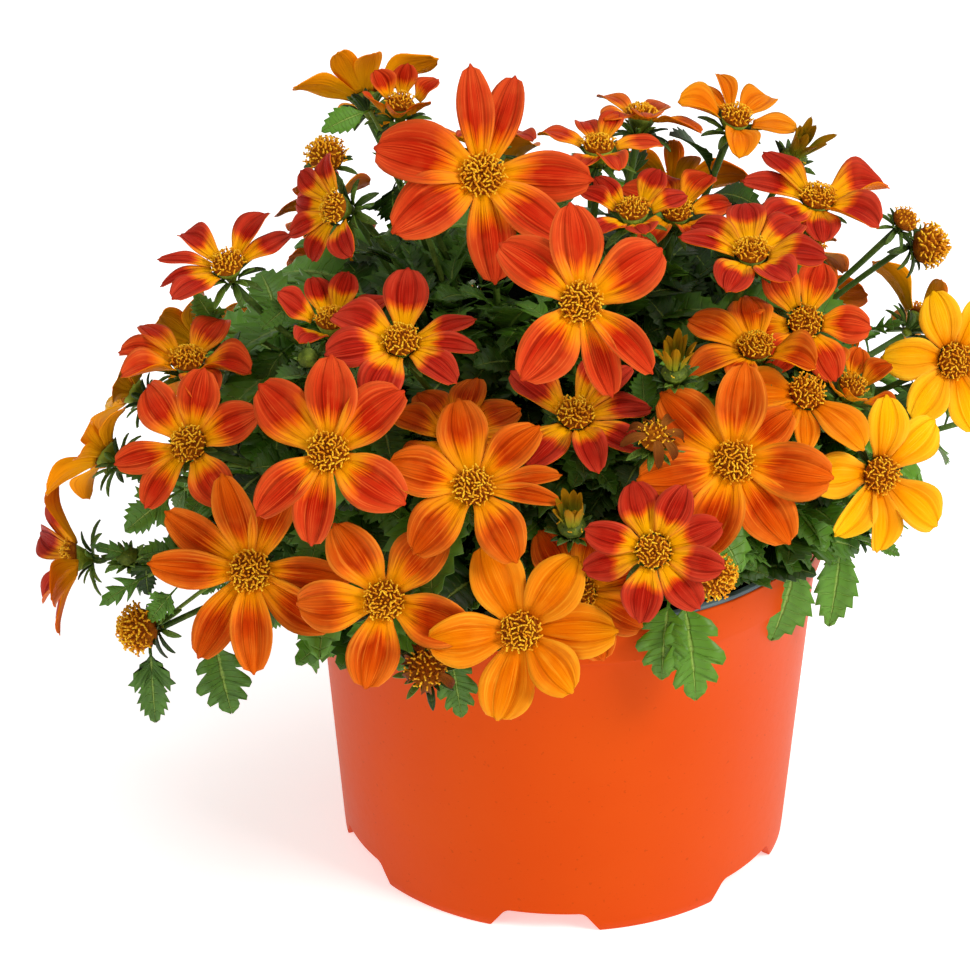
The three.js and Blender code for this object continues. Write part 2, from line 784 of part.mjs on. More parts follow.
function stalkSolid(bloom) {
  const { axis, centre } = bloomFrame(bloom);
  const top = centre.clone().addScaledVector(axis, -DISC.base - GAP);
  const base = cupBase(bloom);
  const foot = sameTurn(coreFootOf(base), base);
  const bend = foot.clone().lerp(base, CUP.elbow).addScaledVector(axis, -CUP.elbowDrop);
  const elbow = sameTurn(bend, base);
  return skin([
    ring(foot, elbow.clone().sub(foot).normalize(), CUP.stalk, CUP.sides),
    ring(elbow, base.clone().sub(foot).normalize(), CUP.stalk, CUP.sides),
    ring(base, axis, CUP.stalk * CUP.flare, CUP.sides),
    ring(top, axis, CUP.radius, CUP.sides),
  ]);
}

function headSolids({ at, radius }) {
  const centre = vec(...at);
  const foot = sameTurn(coreFootOf(centre), centre);
  const way = centre.clone().sub(foot).normalize();
  const head = new THREE.IcosahedronGeometry(radius, 0);
  head.translate(...at);
  return [
    skin([ring(foot, way, CUP.stalk, CUP.sides), ring(centre, way, CUP.stalk, CUP.sides)]),
    solidOf(head),
  ];
}

// Leaves: one arched blade each, cut to the rib between a toothed end leaflet and two side ones.
const LEAF_STATIONS = [
  { rib: 0, edge: 0, width: 0.05 },
  { rib: 0.32, edge: 0.58, width: 0.42 },
  { rib: 0.42, edge: 0.44, width: 0.08 },
  { rib: 0.64, edge: 0.74, width: 0.32 },
  { rib: 0.74, edge: 0.76, width: 0.19 },
];

function leafPoints(leaf) {
  const side = leaf.way.clone().cross(leaf.face).normalize();
  const bend = LEAF.bend * RADIANS;
  const at = (share) => leaf.root.clone()
    .addScaledVector(leaf.way, (leaf.length * Math.sin(bend * share)) / bend)
    .addScaledVector(leaf.face, (-leaf.length * (1 - Math.cos(bend * share))) / bend);
  const normalAt = (share) => leaf.face.clone().multiplyScalar(Math.cos(bend * share))
    .addScaledVector(leaf.way, Math.sin(bend * share));
  const stations = LEAF_STATIONS.map(({ rib, edge, width }) => {
    const normal = normalAt(rib);
    const reach = width * leaf.length;
    const point = (sign) => at(edge)
      .addScaledVector(side, sign * reach)
      .addScaledVector(normalAt(edge), LEAF.hollow * reach);
    return { left: point(-1), rib: at(rib), right: point(1), normal };
  });
  return { stations, tip: at(1) };
}

// A point is clear of a bloom when it lies beside it or well behind its petals.
function clearOfBloom(point, frame) {
  const offset = point.clone().sub(frame.centre);
  const height = offset.dot(frame.axis);
  const away = offset.addScaledVector(frame.axis, -height).length();
  const share = Math.min(1, Math.max(0, (away - DISC.root) / (frame.reach - DISC.root)));
  const back = petalPath(frame, share, -PETAL.layerLift).up - CLEAR.behind;
  return away > frame.reach + CLEAR.beside || height < back || height > CLEAR.ahead;
}

function clearOfPot(point) {
  return point.z > POT.height + CLEAR.beside || Math.hypot(point.x, point.y) > POT.rimRadius + CLEAR.beside;
}

const FRAMES = BLOOMS.map(bloomFrame);

function leafSamples(leaf) {
  const { stations, tip } = leafPoints(leaf);
  return [tip, ...stations.slice(1).flatMap(({ left, rib, right }) => [
    left, rib, right, left.clone().lerp(rib, 0.5), right.clone().lerp(rib, 0.5),
  ])];
}

function tooClose(samples, others) {
  return samples.some((point) => others.some((other) => point.distanceTo(other) < LEAF.apart));
}

function leafFits(samples, region, root) {
  const clear = (point) => depthIn(region, point) > REGION.clearance
    && clearOfPot(point)
    && FRAMES.every((frame) => clearOfBloom(point, frame));
  return depthIn(region, root) > 2 * LEAF.thick && samples.every(clear);
}

// Points along every stalk and head, which the leaves keep clear of.
function stalkSamples() {
  const ends = [
    ...BLOOMS.map((bloom) => ({ top: cupBase(bloom), guide: cupBase(bloom) })),
    ...HEADS.map(({ at }) => ({ top: vec(...at), guide: vec(...at) })),
  ];
  return ends.flatMap(({ top, guide }) => {
    const foot = sameTurn(coreFootOf(top), guide);
    return [0.2, 0.4, 0.6, 0.8, 1, 1.2].map((share) => foot.clone().lerp(top, share));
  });
}

// Roots are spread evenly over the core, and each leaf takes the first of its draws that is clear.
function leaves() {
  const golden = Math.PI * (3 - Math.sqrt(5));
  const found = [];
  const stalks = stalkSamples();
  const taken = [];
  for (let index = 0; index < LEAF.count; index += 1) {
    const draw = makeDraw(101 + 37 * index);
    const rise = LEAF.lowest + ((LEAF.highest - LEAF.lowest) * (index + 0.5)) / LEAF.count;
    const angle = index * golden;
    const level = Math.sqrt(1 - rise * rise);
    const out = vec(level * Math.cos(angle), level * Math.sin(angle), rise);
    const root = vec(CORE.x + CORE.rx * out.x, CORE.y + CORE.ry * out.y, CORE.z + CORE.rz * out.z);
    root.addScaledVector(out, -LEAF.rootDepth);
    const region = regionOf(root);
    for (let attempt = 0; attempt < LEAF.tries; attempt += 1) {
      const lean = LEAF.leastLean + (LEAF.mostLean - LEAF.leastLean) * draw();
      const turn = (draw() - 0.5) * LEAF.turn * RADIANS - Math.PI / 2;
      const sideways = out.clone().cross(UP).normalize();
      const upwards = sideways.clone().cross(out);
      const way = out.clone()
        .addScaledVector(sideways, lean * Math.cos(turn))
        .addScaledVector(upwards, lean * Math.sin(turn))
        .normalize();
      const face = UP.clone().multiplyScalar(0.7).addScaledVector(out, 0.9);
      face.addScaledVector(way, -face.dot(way)).normalize();
      const length = LEAF.shortest + (LEAF.longest - LEAF.shortest) * draw();
      const leaf = { root, way, face, length };
      const samples = leafSamples(leaf);
      if (leafFits(samples, region, root) && !tooClose(samples, stalks) && !tooClose(samples, taken)) {
        found.push({ leaf, region });
        taken.push(...samples);
        break;
      }
    }
  }
  return found;
}

function sameRegion(one, other) {
  return (one?.from ?? null) === (other?.from ?? null);
}

function leafyStemSolid(region, allLeaves) {
  const place = stemPlace(region);
  const stem = skin([
    ring(place.clone().setZ(SOIL.top - STEM.depth), UP, STEM.radius, STEM.sides),
    ring(place.clone().setZ(CORE.underside + STEM.radius), UP, STEM.radius, STEM.sides),
  ]);
  const stalks = BLOOMS.filter((bloom) => sameRegion(regionOf(cupBase(bloom)), region)).map(stalkSolid);
  const heads = HEADS.filter(({ at }) => sameRegion(regionOf(vec(...at)), region)).flatMap(headSolids);
  const blades = allLeaves.filter((entry) => sameRegion(entry.region, region)).map(({ leaf }) => {
    const { stations, tip } = leafPoints(leaf);
    return skin([...stations.map((station) => bladeLoop(station, LEAF.thick)), [tip]]);
  });
  return joined([coreSolid(region), stem, ...stalks, ...heads, ...blades]);
}

// The nodes
place("pot", potSolid(), material(new THREE.Color(0.9, 0.24, 0.06), 0.5));
place("soil", soilSolid(), material(new THREE.Color(0.05, 0.035, 0.025), 1));
const foliage = material(new THREE.Color(0.06, 0.17, 0.04), 0.55);
const allLeaves = leaves();
regions().forEach((region, index) => {
  place(`leafy_stem_${String(index + 1).padStart(2, "0")}`, leafyStemSolid(region, allLeaves), foliage);
});
const petalMaterials = Object.fromEntries(
  Object.entries(COLOURS).map(([name, colour]) => [name, material(colour, 0.6)]),
);
BLOOMS.forEach((bloom, index) => {
  place(`bloom_${String(index + 1).padStart(2, "0")}`, bloomSolid(bloom), petalMaterials[bloom.colour]);
});

export default part;
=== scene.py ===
"""A garden bidens in full bloom, in its orange nursery pot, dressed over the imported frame.

Lengths are in millimetres until a mesh is built. The origin is the middle of the pot's foot,
+Z is up and -Y is the front.
"""

import logging
import math
from dataclasses import dataclass, field
from enum import Enum
from functools import cached_property
from typing import Callable, Sequence

import bmesh
import bpy
import numpy as np
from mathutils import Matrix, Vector


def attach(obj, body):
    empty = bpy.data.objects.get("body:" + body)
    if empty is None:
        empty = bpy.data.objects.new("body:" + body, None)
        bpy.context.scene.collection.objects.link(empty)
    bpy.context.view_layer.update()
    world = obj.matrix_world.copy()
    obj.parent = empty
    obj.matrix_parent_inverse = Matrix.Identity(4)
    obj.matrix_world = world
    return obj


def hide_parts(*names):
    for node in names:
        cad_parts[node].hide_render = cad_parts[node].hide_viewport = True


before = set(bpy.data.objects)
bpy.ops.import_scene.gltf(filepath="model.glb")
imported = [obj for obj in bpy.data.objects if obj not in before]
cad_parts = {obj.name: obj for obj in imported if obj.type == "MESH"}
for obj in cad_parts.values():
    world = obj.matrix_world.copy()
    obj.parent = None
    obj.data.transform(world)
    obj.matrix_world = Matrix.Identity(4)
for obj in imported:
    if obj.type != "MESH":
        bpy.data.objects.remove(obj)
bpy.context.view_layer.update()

LOG = logging.getLogger("potted_bidens")
MM = 0.001
UV_NAME = "along"
TINT_NAME = "tint"
UP = np.array((0.0, 0.0, 1.0))
GOLDEN_ANGLE = math.pi * (3 - math.sqrt(5))
NEAR = 0.01


# Directions and draws


def vec(x: float, y: float, z: float) -> np.ndarray:
    """Returns a point or direction."""
    return np.array((x, y, z), float)


def unit(way: np.ndarray) -> np.ndarray:
    """Returns a direction at length one."""
    return way / np.linalg.norm(way)


def heading(turn: float) -> np.ndarray:
    """Returns the level direction that is turned some degrees from the front towards +X."""
    return vec(math.sin(math.radians(turn)), -math.cos(math.radians(turn)), 0)


def square_to(way: np.ndarray, other: np.ndarray) -> np.ndarray:
    """Returns the direction nearest to another that is square to a way."""
    return unit(other - way * (other @ way))


def plane_of(axis: np.ndarray, guide: tuple[float, float, float]) -> tuple[np.ndarray, np.ndarray]:
    """Returns two directions square to an axis and to each other, the first by a guide."""
    first = unit(np.cross(axis, vec(*guide)))
    return first, np.cross(axis, first)


def arc(
    root: np.ndarray, way: np.ndarray, face: np.ndarray, length: float, bend: float, share: np.ndarray
) -> tuple[np.ndarray, np.ndarray]:
    """Follows an arc that bends away from its face.

    Args:
        root: where it starts.
        way: where it points at its root.
        face: the way that it faces there.
        length: its length.
        bend: how far it bends, in radians.
        share: how far along it, one value each.

    Returns:
        The points, and the arc's normals there.
    """
    swing = (bend * share)[:, None]
    points = root + way * length * np.sin(swing) / bend
    points = points - face * length * (1 - np.cos(swing)) / bend
    return points, face * np.cos(swing) + way * np.sin(swing)


class Draw:
    """A fixed run of draws between 0 and 1."""

    def __init__(self, seed: int) -> None:
        """Starts the run from a whole number."""
        self.state = seed

    def __call__(self) -> float:
        """Returns the next draw."""
        self.state = (self.state * 16807) % 2147483647
        return self.state / 2147483647

    def between(self, low: float, high: float) -> float:
        """Returns the next draw, between two values."""
        return low + (high - low) * self()


def smooth_path(points: Sequence[np.ndarray], stations: int) -> np.ndarray:
    """Samples a smooth curve through a few points.

    Args:
        points: the points that the curve passes.
        stations: how many samples to take.

    Returns:
        The samples, one row each.
    """
    known = np.array([2 * points[0] - points[1], *points, 2 * points[-1] - points[-2]])
    samples = []
    for share in np.linspace(0, len(points) - 1, stations):
        leg = min(int(share), len(points) - 2)
        t = share - leg
        a, b, c, d = known[leg : leg + 4]
        samples.append(
            0.5 * (2 * b + (c - a) * t + (2 * a - 5 * b + 4 * c - d) * t**2 + (3 * b - a - 3 * c + d) * t**3)
        )
    return np.array(samples)


# Modelling


@dataclass
class Pattern:
    """A finished master mesh as plain arrays, ready to be copied many times."""

    points: np.ndarray
    corners: np.ndarray
    sizes: np.ndarray
    marks: np.ndarray
    slots: np.ndarray

    @classmethod
    def of(cls, mesh: bpy.types.Mesh) -> "Pattern":
        """Reads a mesh.

        Args:
            mesh: the modelled mesh, in millimetres.

        Returns:
            The pattern.
        """
        points = np.empty(len(mesh.vertices) * 3)
        mesh.vertices.foreach_get("co", points)
        corners = np.empty(len(mesh.loops), int)
        mesh.loops.foreach_get("vertex_index", corners)
        sizes = np.empty(len(mesh.polygons), int)
        mesh.polygons.foreach_get("loop_total", sizes)
        slots = np.empty(len(mesh.polygons), int)
        mesh.polygons.foreach_get("material_index", slots)
        marks = np.full(len(mesh.loops) * 2, 0.5)
        if mesh.uv_layers:
            mesh.uv_layers[0].data.foreach_get("uv", marks)
        return cls(points.reshape(-1, 3), corners, sizes, marks.reshape(-1, 2), slots)

    def moved(self, points: np.ndarray, slot: int | None = None) -> "Pattern":
        """Returns the pattern with its points elsewhere, and on one finish if a slot is given."""
        slots = self.slots if slot is None else np.full_like(self.slots, slot)
        return Pattern(points, self.corners, self.sizes, self.marks, slots)

    def moved_to(self, slot: int) -> "Pattern":
        """Returns the pattern on one finish."""
        return self.moved(self.points, slot)

    def framed(
        self, origin: np.ndarray, axes: Sequence[np.ndarray], scale: float = 1.0, slot: int | None = None
    ) -> "Pattern":
        """Returns the pattern stood on three directions at an origin, scaled, on one finish or its own."""
        return self.moved(origin + scale * (self.points @ np.array(axes)), slot)


def starts_of(counts: Sequence[int]) -> np.ndarray:
    """Returns where each run starts, from the runs' counts."""
    return np.concatenate(([0], np.cumsum(counts)[:-1]))


def merged(parts: Sequence[Pattern]) -> Pattern:
    """Joins patterns into one."""
    starts = starts_of([len(part.points) for part in parts])
    return Pattern(
        np.concatenate([part.points for part in parts]),
        np.concatenate([part.corners + start for part, start in zip(parts, starts)]),
        np.concatenate([part.sizes for part in parts]),
        np.concatenate([part.marks for part in parts]),
        np.concatenate([part.slots for part in parts]),
    )


class Cluster:
    """Copies of patterns gathered into one mesh."""

    def __init__(self) -> None:
        """Starts an empty cluster."""
        self.copies: list[Pattern] = []
        self.tints: list[float] = []

    def add(self, copy: Pattern, tint: float = 0.5) -> None:
        """Adds a copy in its place, in millimetres, with its own shade, from 0 to 1."""
        self.copies.append(copy)
        self.tints.append(tint)

    def build(self, name: str, finishes: Sequence[bpy.types.Material]) -> bpy.types.Object:
        """Makes the piece.

        Args:
            name: the piece's name.
            finishes: its materials, by slot.

        Returns:
            The piece, at the origin, with its place in its mesh.
        """
        whole = merged(self.copies)
        tints = np.repeat(np.array(self.tints), [len(copy.points) for copy in self.copies])
        mesh = bpy.data.meshes.new(name)
        mesh.vertices.add(len(whole.points))
        mesh.vertices.foreach_set("co", (whole.points * MM).ravel())
        mesh.loops.add(len(whole.corners))
        mesh.loops.foreach_set("vertex_index", whole.corners.astype(np.int32))
        mesh.polygons.add(len(whole.sizes))
        mesh.polygons.foreach_set("loop_start", starts_of(whole.sizes).astype(np.int32))
        mesh.polygons.foreach_set("material_index", whole.slots.astype(np.int32))
        mesh.uv_layers.new(name=UV_NAME).data.foreach_set("uv", whole.marks.ravel())
        mesh.attributes.new(TINT_NAME, "FLOAT", "POINT").data.foreach_set("value", tints)
        mesh.update(calc_edges=True)
        mesh.shade_smooth()
        for finish in finishes:
            mesh.materials.append(finish)
        piece = bpy.data.objects.new(name, mesh)
        bpy.context.scene.collection.objects.link(piece)
        return piece


def select_only(*items: bpy.types.Object) -> None:
    """Selects some objects and no others, with the first as the active one."""
    bpy.ops.object.select_all(action="DESELECT")
    for item in items:
        item.select_set(True)
    bpy.context.view_layer.objects.active = items[0]


class Bench:
    """One mesh on the bench, shaped with Blender's edit tools."""

    def __init__(self, name: str) -> None:
        """Clears the bench for what is made on it next."""
        bpy.ops.object.select_all(action="DESELECT")
        self.name = name
        self.item: bpy.types.Object | None = None
        self.rest: list[Vector] = []

    def open(self) -> None:
        """Takes the primitive just added into edit mode, and notes where its corners start."""
        self.item = bpy.context.active_object
        self.item.name = self.name
        self.rest = [corner.co.copy() for corner in self.item.data.vertices]
        bpy.ops.object.mode_set(mode="EDIT")
        bpy.ops.mesh.select_mode(type="VERT")
        bpy.ops.mesh.select_all(action="SELECT")

    def grid(self, columns: int, rows: int) -> "Bench":
        """Lays a flat grid, from -1 to 1 across and 0 to 1 along."""
        bpy.ops.mesh.primitive_grid_add(x_subdivisions=columns, y_subdivisions=rows, size=2)
        self.open()
        self.move(0, 1, 0)
        self.scale(1, 0.5, 1)
        self.rest = [corner.co.copy() for corner in bmesh.from_edit_mesh(self.item.data).verts]
        return self

    def pick(self, wanted: Callable[[Vector], bool]) -> None:
        """Selects corners by the place where they started.

        Args:
            wanted: tells from a corner's first place whether to select it.
        """
        work = bmesh.from_edit_mesh(self.item.data)
        for corner in work.verts:
            corner.select = bool(wanted(self.rest[corner.index]))
        work.select_flush_mode()
        bmesh.update_edit_mesh(self.item.data)

    def pick_row(self, place: float, wanted: Callable[[float], bool] = lambda across: True) -> None:
        """Selects a grid's row, or those of its corners that are wanted for where they started across."""
        self.pick(lambda corner: abs(corner.y - place) < NEAR and wanted(corner.x))

    def move(self, x: float, y: float, z: float) -> None:
        """Moves what is selected."""
        bpy.ops.transform.translate(value=(x, y, z))

    def scale(self, x: float, y: float, z: float) -> None:
        """Scales what is selected, about the origin."""
        bpy.ops.transform.resize(value=(x, y, z), center_override=(0, 0, 0))

    def turn(self, profile: Sequence[tuple[float, float]], segments: int) -> "Bench":
        """Draws a circle up through a profile, and closes both ends.

        Args:
            profile: radii and heights, from the first ring to the last.
            segments: the corners of each ring.

        Returns:
            The bench, in edit mode.
        """
        radius, height = profile[0]
        bpy.ops.mesh.primitive_circle_add(
            vertices=segments, radius=radius, location=(0, 0, height), fill_type="NGON"
        )
        bpy.ops.object.transform_apply(location=True)
        self.open()
        for next_radius, next_height in profile[1:]:
            bpy.ops.mesh.extrude_region_move(
                TRANSFORM_OT_translate={"value": (0, 0, next_height - height)}
            )
            self.scale(next_radius / radius, next_radius / radius, 1)
            radius, height = next_radius, next_height
        return self

    def close(self) -> None:
        """Leaves edit mode with the faces turned outwards and shaded smooth."""
        bpy.ops.mesh.select_all(action="SELECT")
        bpy.ops.mesh.normals_make_consistent(inside=False)
        bpy.ops.object.mode_set(mode="OBJECT")
        bpy.ops.object.shade_smooth()

    def modify(self, kind: str, **settings: object) -> None:
        """Adds a modifier and applies it.

        Args:
            kind: the modifier's type.
            **settings: its settings by name.
        """
        select_only(self.item)
        made = self.item.modifiers.new(kind.title(), kind)
        for name, value in settings.items():
            setattr(made, name, value)
        bpy.ops.object.modifier_apply(modifier=made.name)

    def thicken(self, thickness: float, rim: int) -> None:
        """Gives a sheet its thickness below, with its back on the second finish.

        Args:
            thickness: how thick it becomes.
            rim: the finish of its edge, 0 for the front's and 1 for the back's.
        """
        for _ in range(2):
            self.item.data.materials.append(None)
        self.modify("SOLIDIFY", thickness=thickness, offset=-1.0, material_offset=1, material_offset_rim=rim)

    def lift_off(self) -> Pattern:
        """Reads the mesh into a pattern, and clears the bench."""
        pattern = Pattern.of(self.item.data)
        mesh = self.item.data
        bpy.data.objects.remove(self.item)
        bpy.data.meshes.remove(mesh)
        return pattern


# Finishes


def paint(code: str) -> tuple[float, float, float, float]:
    """Returns a screen colour, written as six hex digits, in Blender's own linear values."""
    channels = [int(code[start : start + 2], 16) / 255 for start in (0, 2, 4)]
    linear = [c / 12.92 if c <= 0.04045 else ((c + 0.055) / 1.055) ** 2.4 for c in channels]
    return (*linear, 1.0)


class Value:
    """A socket in a node tree, on which Python's operators add Math nodes."""

    def __init__(self, tree: "Tree", socket: bpy.types.NodeSocket) -> None:
        """Wraps an output socket."""
        self.tree = tree
        self.socket = socket

    def _math(self, operation: str, first: object, second: object) -> "Value":
        """Adds a Math node."""
        return self.tree.node("ShaderNodeMath", {"operation": operation}, {0: first, 1: second})

    def __add__(self, other: object) -> "Value":
        """Adds."""
        return self._math("ADD", self, other)

    __radd__ = __add__

    def __sub__(self, other: object) -> "Value":
        """Subtracts."""
        return self._math("SUBTRACT", self, other)

    def __rsub__(self, other: object) -> "Value":
        """Subtracts from a number."""
        return self._math("SUBTRACT", other, self)

    def __mul__(self, other: object) -> "Value":
        """Multiplies."""
        return self._math("MULTIPLY", self, other)

    __rmul__ = __mul__

    def __abs__(self) -> "Value":
        """Returns the size without its sign."""
        return self._math("ABSOLUTE", self, 0)

    def band(self, low: float, high: float) -> "Value":
        """Rises smoothly from 0 to 1 between two values, or falls where the second is lower."""
        rising = low < high
        return self.tree.node(
            "ShaderNodeMapRange",
            {"interpolation_type": "SMOOTHSTEP"},
            {0: self, 1: min(low, high), 2: max(low, high), 3: float(not rising), 4: float(rising)},
        )


class Tree:
    """One material's node tree."""

    def __init__(self, name: str) -> None:
        """Starts an empty material."""
        self.material = bpy.data.materials.new(name)
        self.material.use_nodes = True
        self.nodes = self.material.node_tree.nodes
        self.links = self.material.node_tree.links
        self.nodes.clear()

    def node(
        self, kind: str, settings: dict | None = None, inputs: dict | None = None, output: int | str = 0
    ) -> Value:
        """Adds a node.

        Args:
            kind: the node's type.
            settings: its settings, with "stops" for a ramp's places and colours.
            inputs: a value or link for each socket, by name or number.
            output: the socket that the result wraps.

        Returns:
            The node's output.
        """
        made = self.nodes.new(kind)
        for name, value in (settings or {}).items():
            if name == "stops":
                ramp = made.color_ramp.elements
                while len(ramp) < len(value):
                    ramp.new(0.5)
                for stop, (place, colour) in zip(ramp, value):
                    stop.position = place
                    stop.color = colour
            else:
                setattr(made, name, value)
        for key, value in (inputs or {}).items():
            if isinstance(value, Value):
                self.links.new(value.socket, made.inputs[key])
            else:
                made.inputs[key].default_value = value
        return Value(self, made.outputs[output])

    def mix(self, factor: object, first: object, second: object) -> Value:
        """Blends two colours by a factor."""
        inputs = {0: factor, 6: first, 7: second}
        return self.node("ShaderNodeMix", {"data_type": "RGBA"}, inputs, output=2)

    def noise(self, place: Value, scale: float, detail: float = 3.0) -> Value:
        """Returns a noise value from 0 to 1."""
        return self.node("ShaderNodeTexNoise", {}, {"Vector": place, "Scale": scale, "Detail": detail})

    def here(self) -> Value:
        """Returns the place on the object, in metres."""
        return self.node("ShaderNodeTexCoord", output="Object")

    def along(self) -> tuple[Value, Value]:
        """Returns how far across and along its own pattern a point lies."""
        split = self.node("ShaderNodeSeparateXYZ", {}, {0: self.node("ShaderNodeUVMap", {"uv_map": UV_NAME})})
        return split, Value(self, split.socket.node.outputs[1])

    def tint(self) -> Value:
        """Returns the copy's own shade."""
        return self.node("ShaderNodeAttribute", {"attribute_name": TINT_NAME}, output="Fac")

    def vector(self, x: object, y: object, z: object) -> Value:
        """Joins three values into a vector."""
        return self.node("ShaderNodeCombineXYZ", {}, {0: x, 1: y, 2: z})

    def bump(self, height: Value, depth: float, strength: float = 1.0) -> Value:
        """Returns a normal with a relief from 0 to 1, of a depth in metres."""
        return self.node("ShaderNodeBump", {}, {"Height": height, "Distance": depth, "Strength": strength})

    def surface(
        self, base: object, roughness: object, normal: Value | None = None, **constants: object
    ) -> None:
        """Ends the tree in one surface.

        Args:
            base: its colour.
            roughness: its roughness.
            normal: its normal, where it has relief.
            **constants: other sockets' fixed values, with spaces written as underscores.
        """
        inputs = {"Base Color": base, "Roughness": roughness}
        inputs |= {name.replace("_", " "): value for name, value in constants.items()}
        if normal is not None:
            inputs["Normal"] = normal
        shader = self.node("ShaderNodeBsdfPrincipled", {}, inputs)
        ending = self.nodes.new("ShaderNodeOutputMaterial")
        self.links.new(shader.socket, ending.inputs["Surface"])


WARM_SHEEN = {"Specular_IOR_Level": 0.16, "Specular_Tint": paint("FF8C3C")}


@dataclass(frozen=True)
class PetalFinish:
    """The upper side of a petal: a glowing root, a darker limb, fine veins and pale margins.

    The stops are shares of the petal's length with their colours.
    """

    name: str
    stops: tuple[tuple[float, str], ...]
    vein: str
    margin: str
    ragged: float = 0.16
    streaks: float = 0.62
    tongue: float = 0.22

    def make(self) -> bpy.types.Material:
        """Returns the material."""
        tree = Tree(self.name)
        across, along = tree.along()
        tint = tree.tint()
        broad = tree.noise(tree.vector(across * 7, along * 1.1, tint * 40), 1.0, 2.0)
        fine = tree.noise(tree.vector(across * 32, along * 1.3, tint * 70), 1.0, 4.0)
        blotch = tree.noise(tree.here(), 160.0, 2.0)
        side = abs(across - 0.5)
        drift = (broad - 0.5) * self.ragged + (fine - 0.5) * (0.8 * self.ragged) + (tint - 0.5) * 0.14
        drift = drift + (0.22 - side) * self.tongue
        ramp = tree.node(
            "ShaderNodeValToRGB",
            {"stops": [(place, paint(colour)) for place, colour in self.stops]},
            {0: along + drift},
        )
        groove = abs(side - 0.25).band(0.05, 0.008)
        midway = along.band(0.12, 0.3) * along.band(1.0, 0.86)
        vein = fine.band(0.49, 0.66) * midway * self.streaks
        darker = tree.mix(vein, ramp, paint(self.vein))
        grooved = tree.mix(groove * midway * 0.32, darker, paint(self.vein))
        light = fine.band(0.46, 0.3) * midway * 0.36 + blotch.band(0.45, 0.7) * 0.12
        light = light + side.band(0.2, 0.5) * 0.28
        lighter = tree.mix(light, grooved, paint(self.margin))
        edge = side.band(0.44, 0.5) * broad.band(0.3, 0.65) * 0.55
        edged = tree.mix(edge, lighter, paint(self.margin))
        shade = tree.mix(tint.band(0.35, 0.0) * 0.22, edged, paint(self.vein))
        relief = fine * 0.5 + groove * -0.6
        tree.surface(shade, 0.42 + 0.18 * broad, tree.bump(relief, 0.0004, 0.9), **WARM_SHEEN)
        return tree.material


@dataclass(frozen=True)
class BackFinish:
    """The back of a petal, which is plainer: gold at the root and veined along its length."""

    name: str
    root: str
    limb: str
    vein: str

    def make(self) -> bpy.types.Material:
        """Returns the material."""
        tree = Tree(self.name)
        across, along = tree.along()
        tint = tree.tint()
        fine = tree.noise(tree.vector(across * 26, along * 1.4, tint * 50), 1.0, 3.0)
        base = tree.mix((along + fine * 0.3).band(0.2, 0.95), paint(self.root), paint(self.limb))
        veined = tree.mix(fine.band(0.52, 0.7) * 0.45, base, paint(self.vein))
        tree.surface(veined, 0.55, tree.bump(fine, 0.0003, 0.8), **WARM_SHEEN)
        return tree.material


@dataclass(frozen=True)
class LeafFinish:
    """A leaf's skin: green that varies, a paler midrib and side veins that run to the teeth."""

    name: str
    deep: str
    fresh: str
    rib: str
    roughness: float = 0.4
    veins: float = 26.0

    def make(self) -> bpy.types.Material:
        """Returns the material."""
        tree = Tree(self.name)
        across, along = tree.along()
        tint = tree.tint()
        blotch = tree.noise(tree.here(), 240.0, 3.0)
        # Each copy's tint picks its green; on small leaves deep in the bush it is lowered as painted shade.
        base = tree.mix((tint * 0.9 + blotch * 0.5).band(0.25, 1.05), paint(self.deep), paint(self.fresh))
        side = abs(across - 0.5)
        wave = (along + side * 0.12) * self.veins * math.pi
        stripe = tree.node("ShaderNodeMath", {"operation": "SINE"}, {0: wave})
        net = stripe.band(0.82, 1.0) * side.band(0.5, 0.3)
        rib = side.band(0.055, 0.012)
        veined = tree.mix(net * 0.12, base, paint(self.rib))
        ribbed = tree.mix(rib * 0.6, veined, paint(self.rib))
        relief = rib * -0.8 + net * -0.5 + blotch * 0.35
        tree.surface(ribbed, self.roughness + 0.2 * blotch, tree.bump(relief, 0.0004), Specular_IOR_Level=0.4)
        return tree.material


@dataclass(frozen=True)
class SpeckledFinish:
    """A plain skin whose colour drifts between two tones, with a fine grain."""

    name: str
    dark: str
    light: str
    roughness: float = 0.55
    drift: float = 300.0
    grain: float = 2200.0
    depth: float = 0.0003
    specular: float = 0.4

    def make(self) -> bpy.types.Material:
        """Returns the material."""
        tree = Tree(self.name)
        place = tree.here()
        broad = tree.noise(place, self.drift, 3.0)
        grain = tree.noise(place, self.grain, 2.0)
        share = (broad * 0.7 + tree.tint() * 0.6 + grain * 0.3).band(0.45, 1.1)
        base = tree.mix(share, paint(self.dark), paint(self.light))
        tree.surface(
            base,
            self.roughness + 0.15 * grain,
            tree.bump(broad * 0.6 + grain * 0.4, self.depth),
            Specular_IOR_Level=self.specular,
        )
        return tree.material


@dataclass(frozen=True)
class PlasticFinish:
    """Moulded pot plastic: satin, with a faint mottle, fine specks and shallow turning lines."""

    name: str
    base: str
    worn: str
    speck: str
    roughness: float = 0.36
    specular: float = 0.18
    sheen: str = "FF9650"

    def make(self) -> bpy.types.Material:
        """Returns the material."""
        tree = Tree(self.name)
        place = tree.here()
        mottle = tree.noise(place, 26.0, 3.0)
        scuffs = tree.noise(place, 420.0, 4.0)
        specks = tree.noise(place, 900.0, 1.0)
        tone = tree.mix(mottle.band(0.35, 0.75) * 0.35, paint(self.base), paint(self.worn))
        specked = tree.mix(specks.band(0.70, 0.76) * 0.35, tone, paint(self.speck))
        tree.surface(
            specked,
            self.roughness + 0.16 * mottle + 0.08 * scuffs,
            tree.bump(scuffs * 0.5 + mottle * 0.5, 0.00009),
            Specular_IOR_Level=self.specular,
            Specular_Tint=paint(self.sheen),
        )
        return tree.material


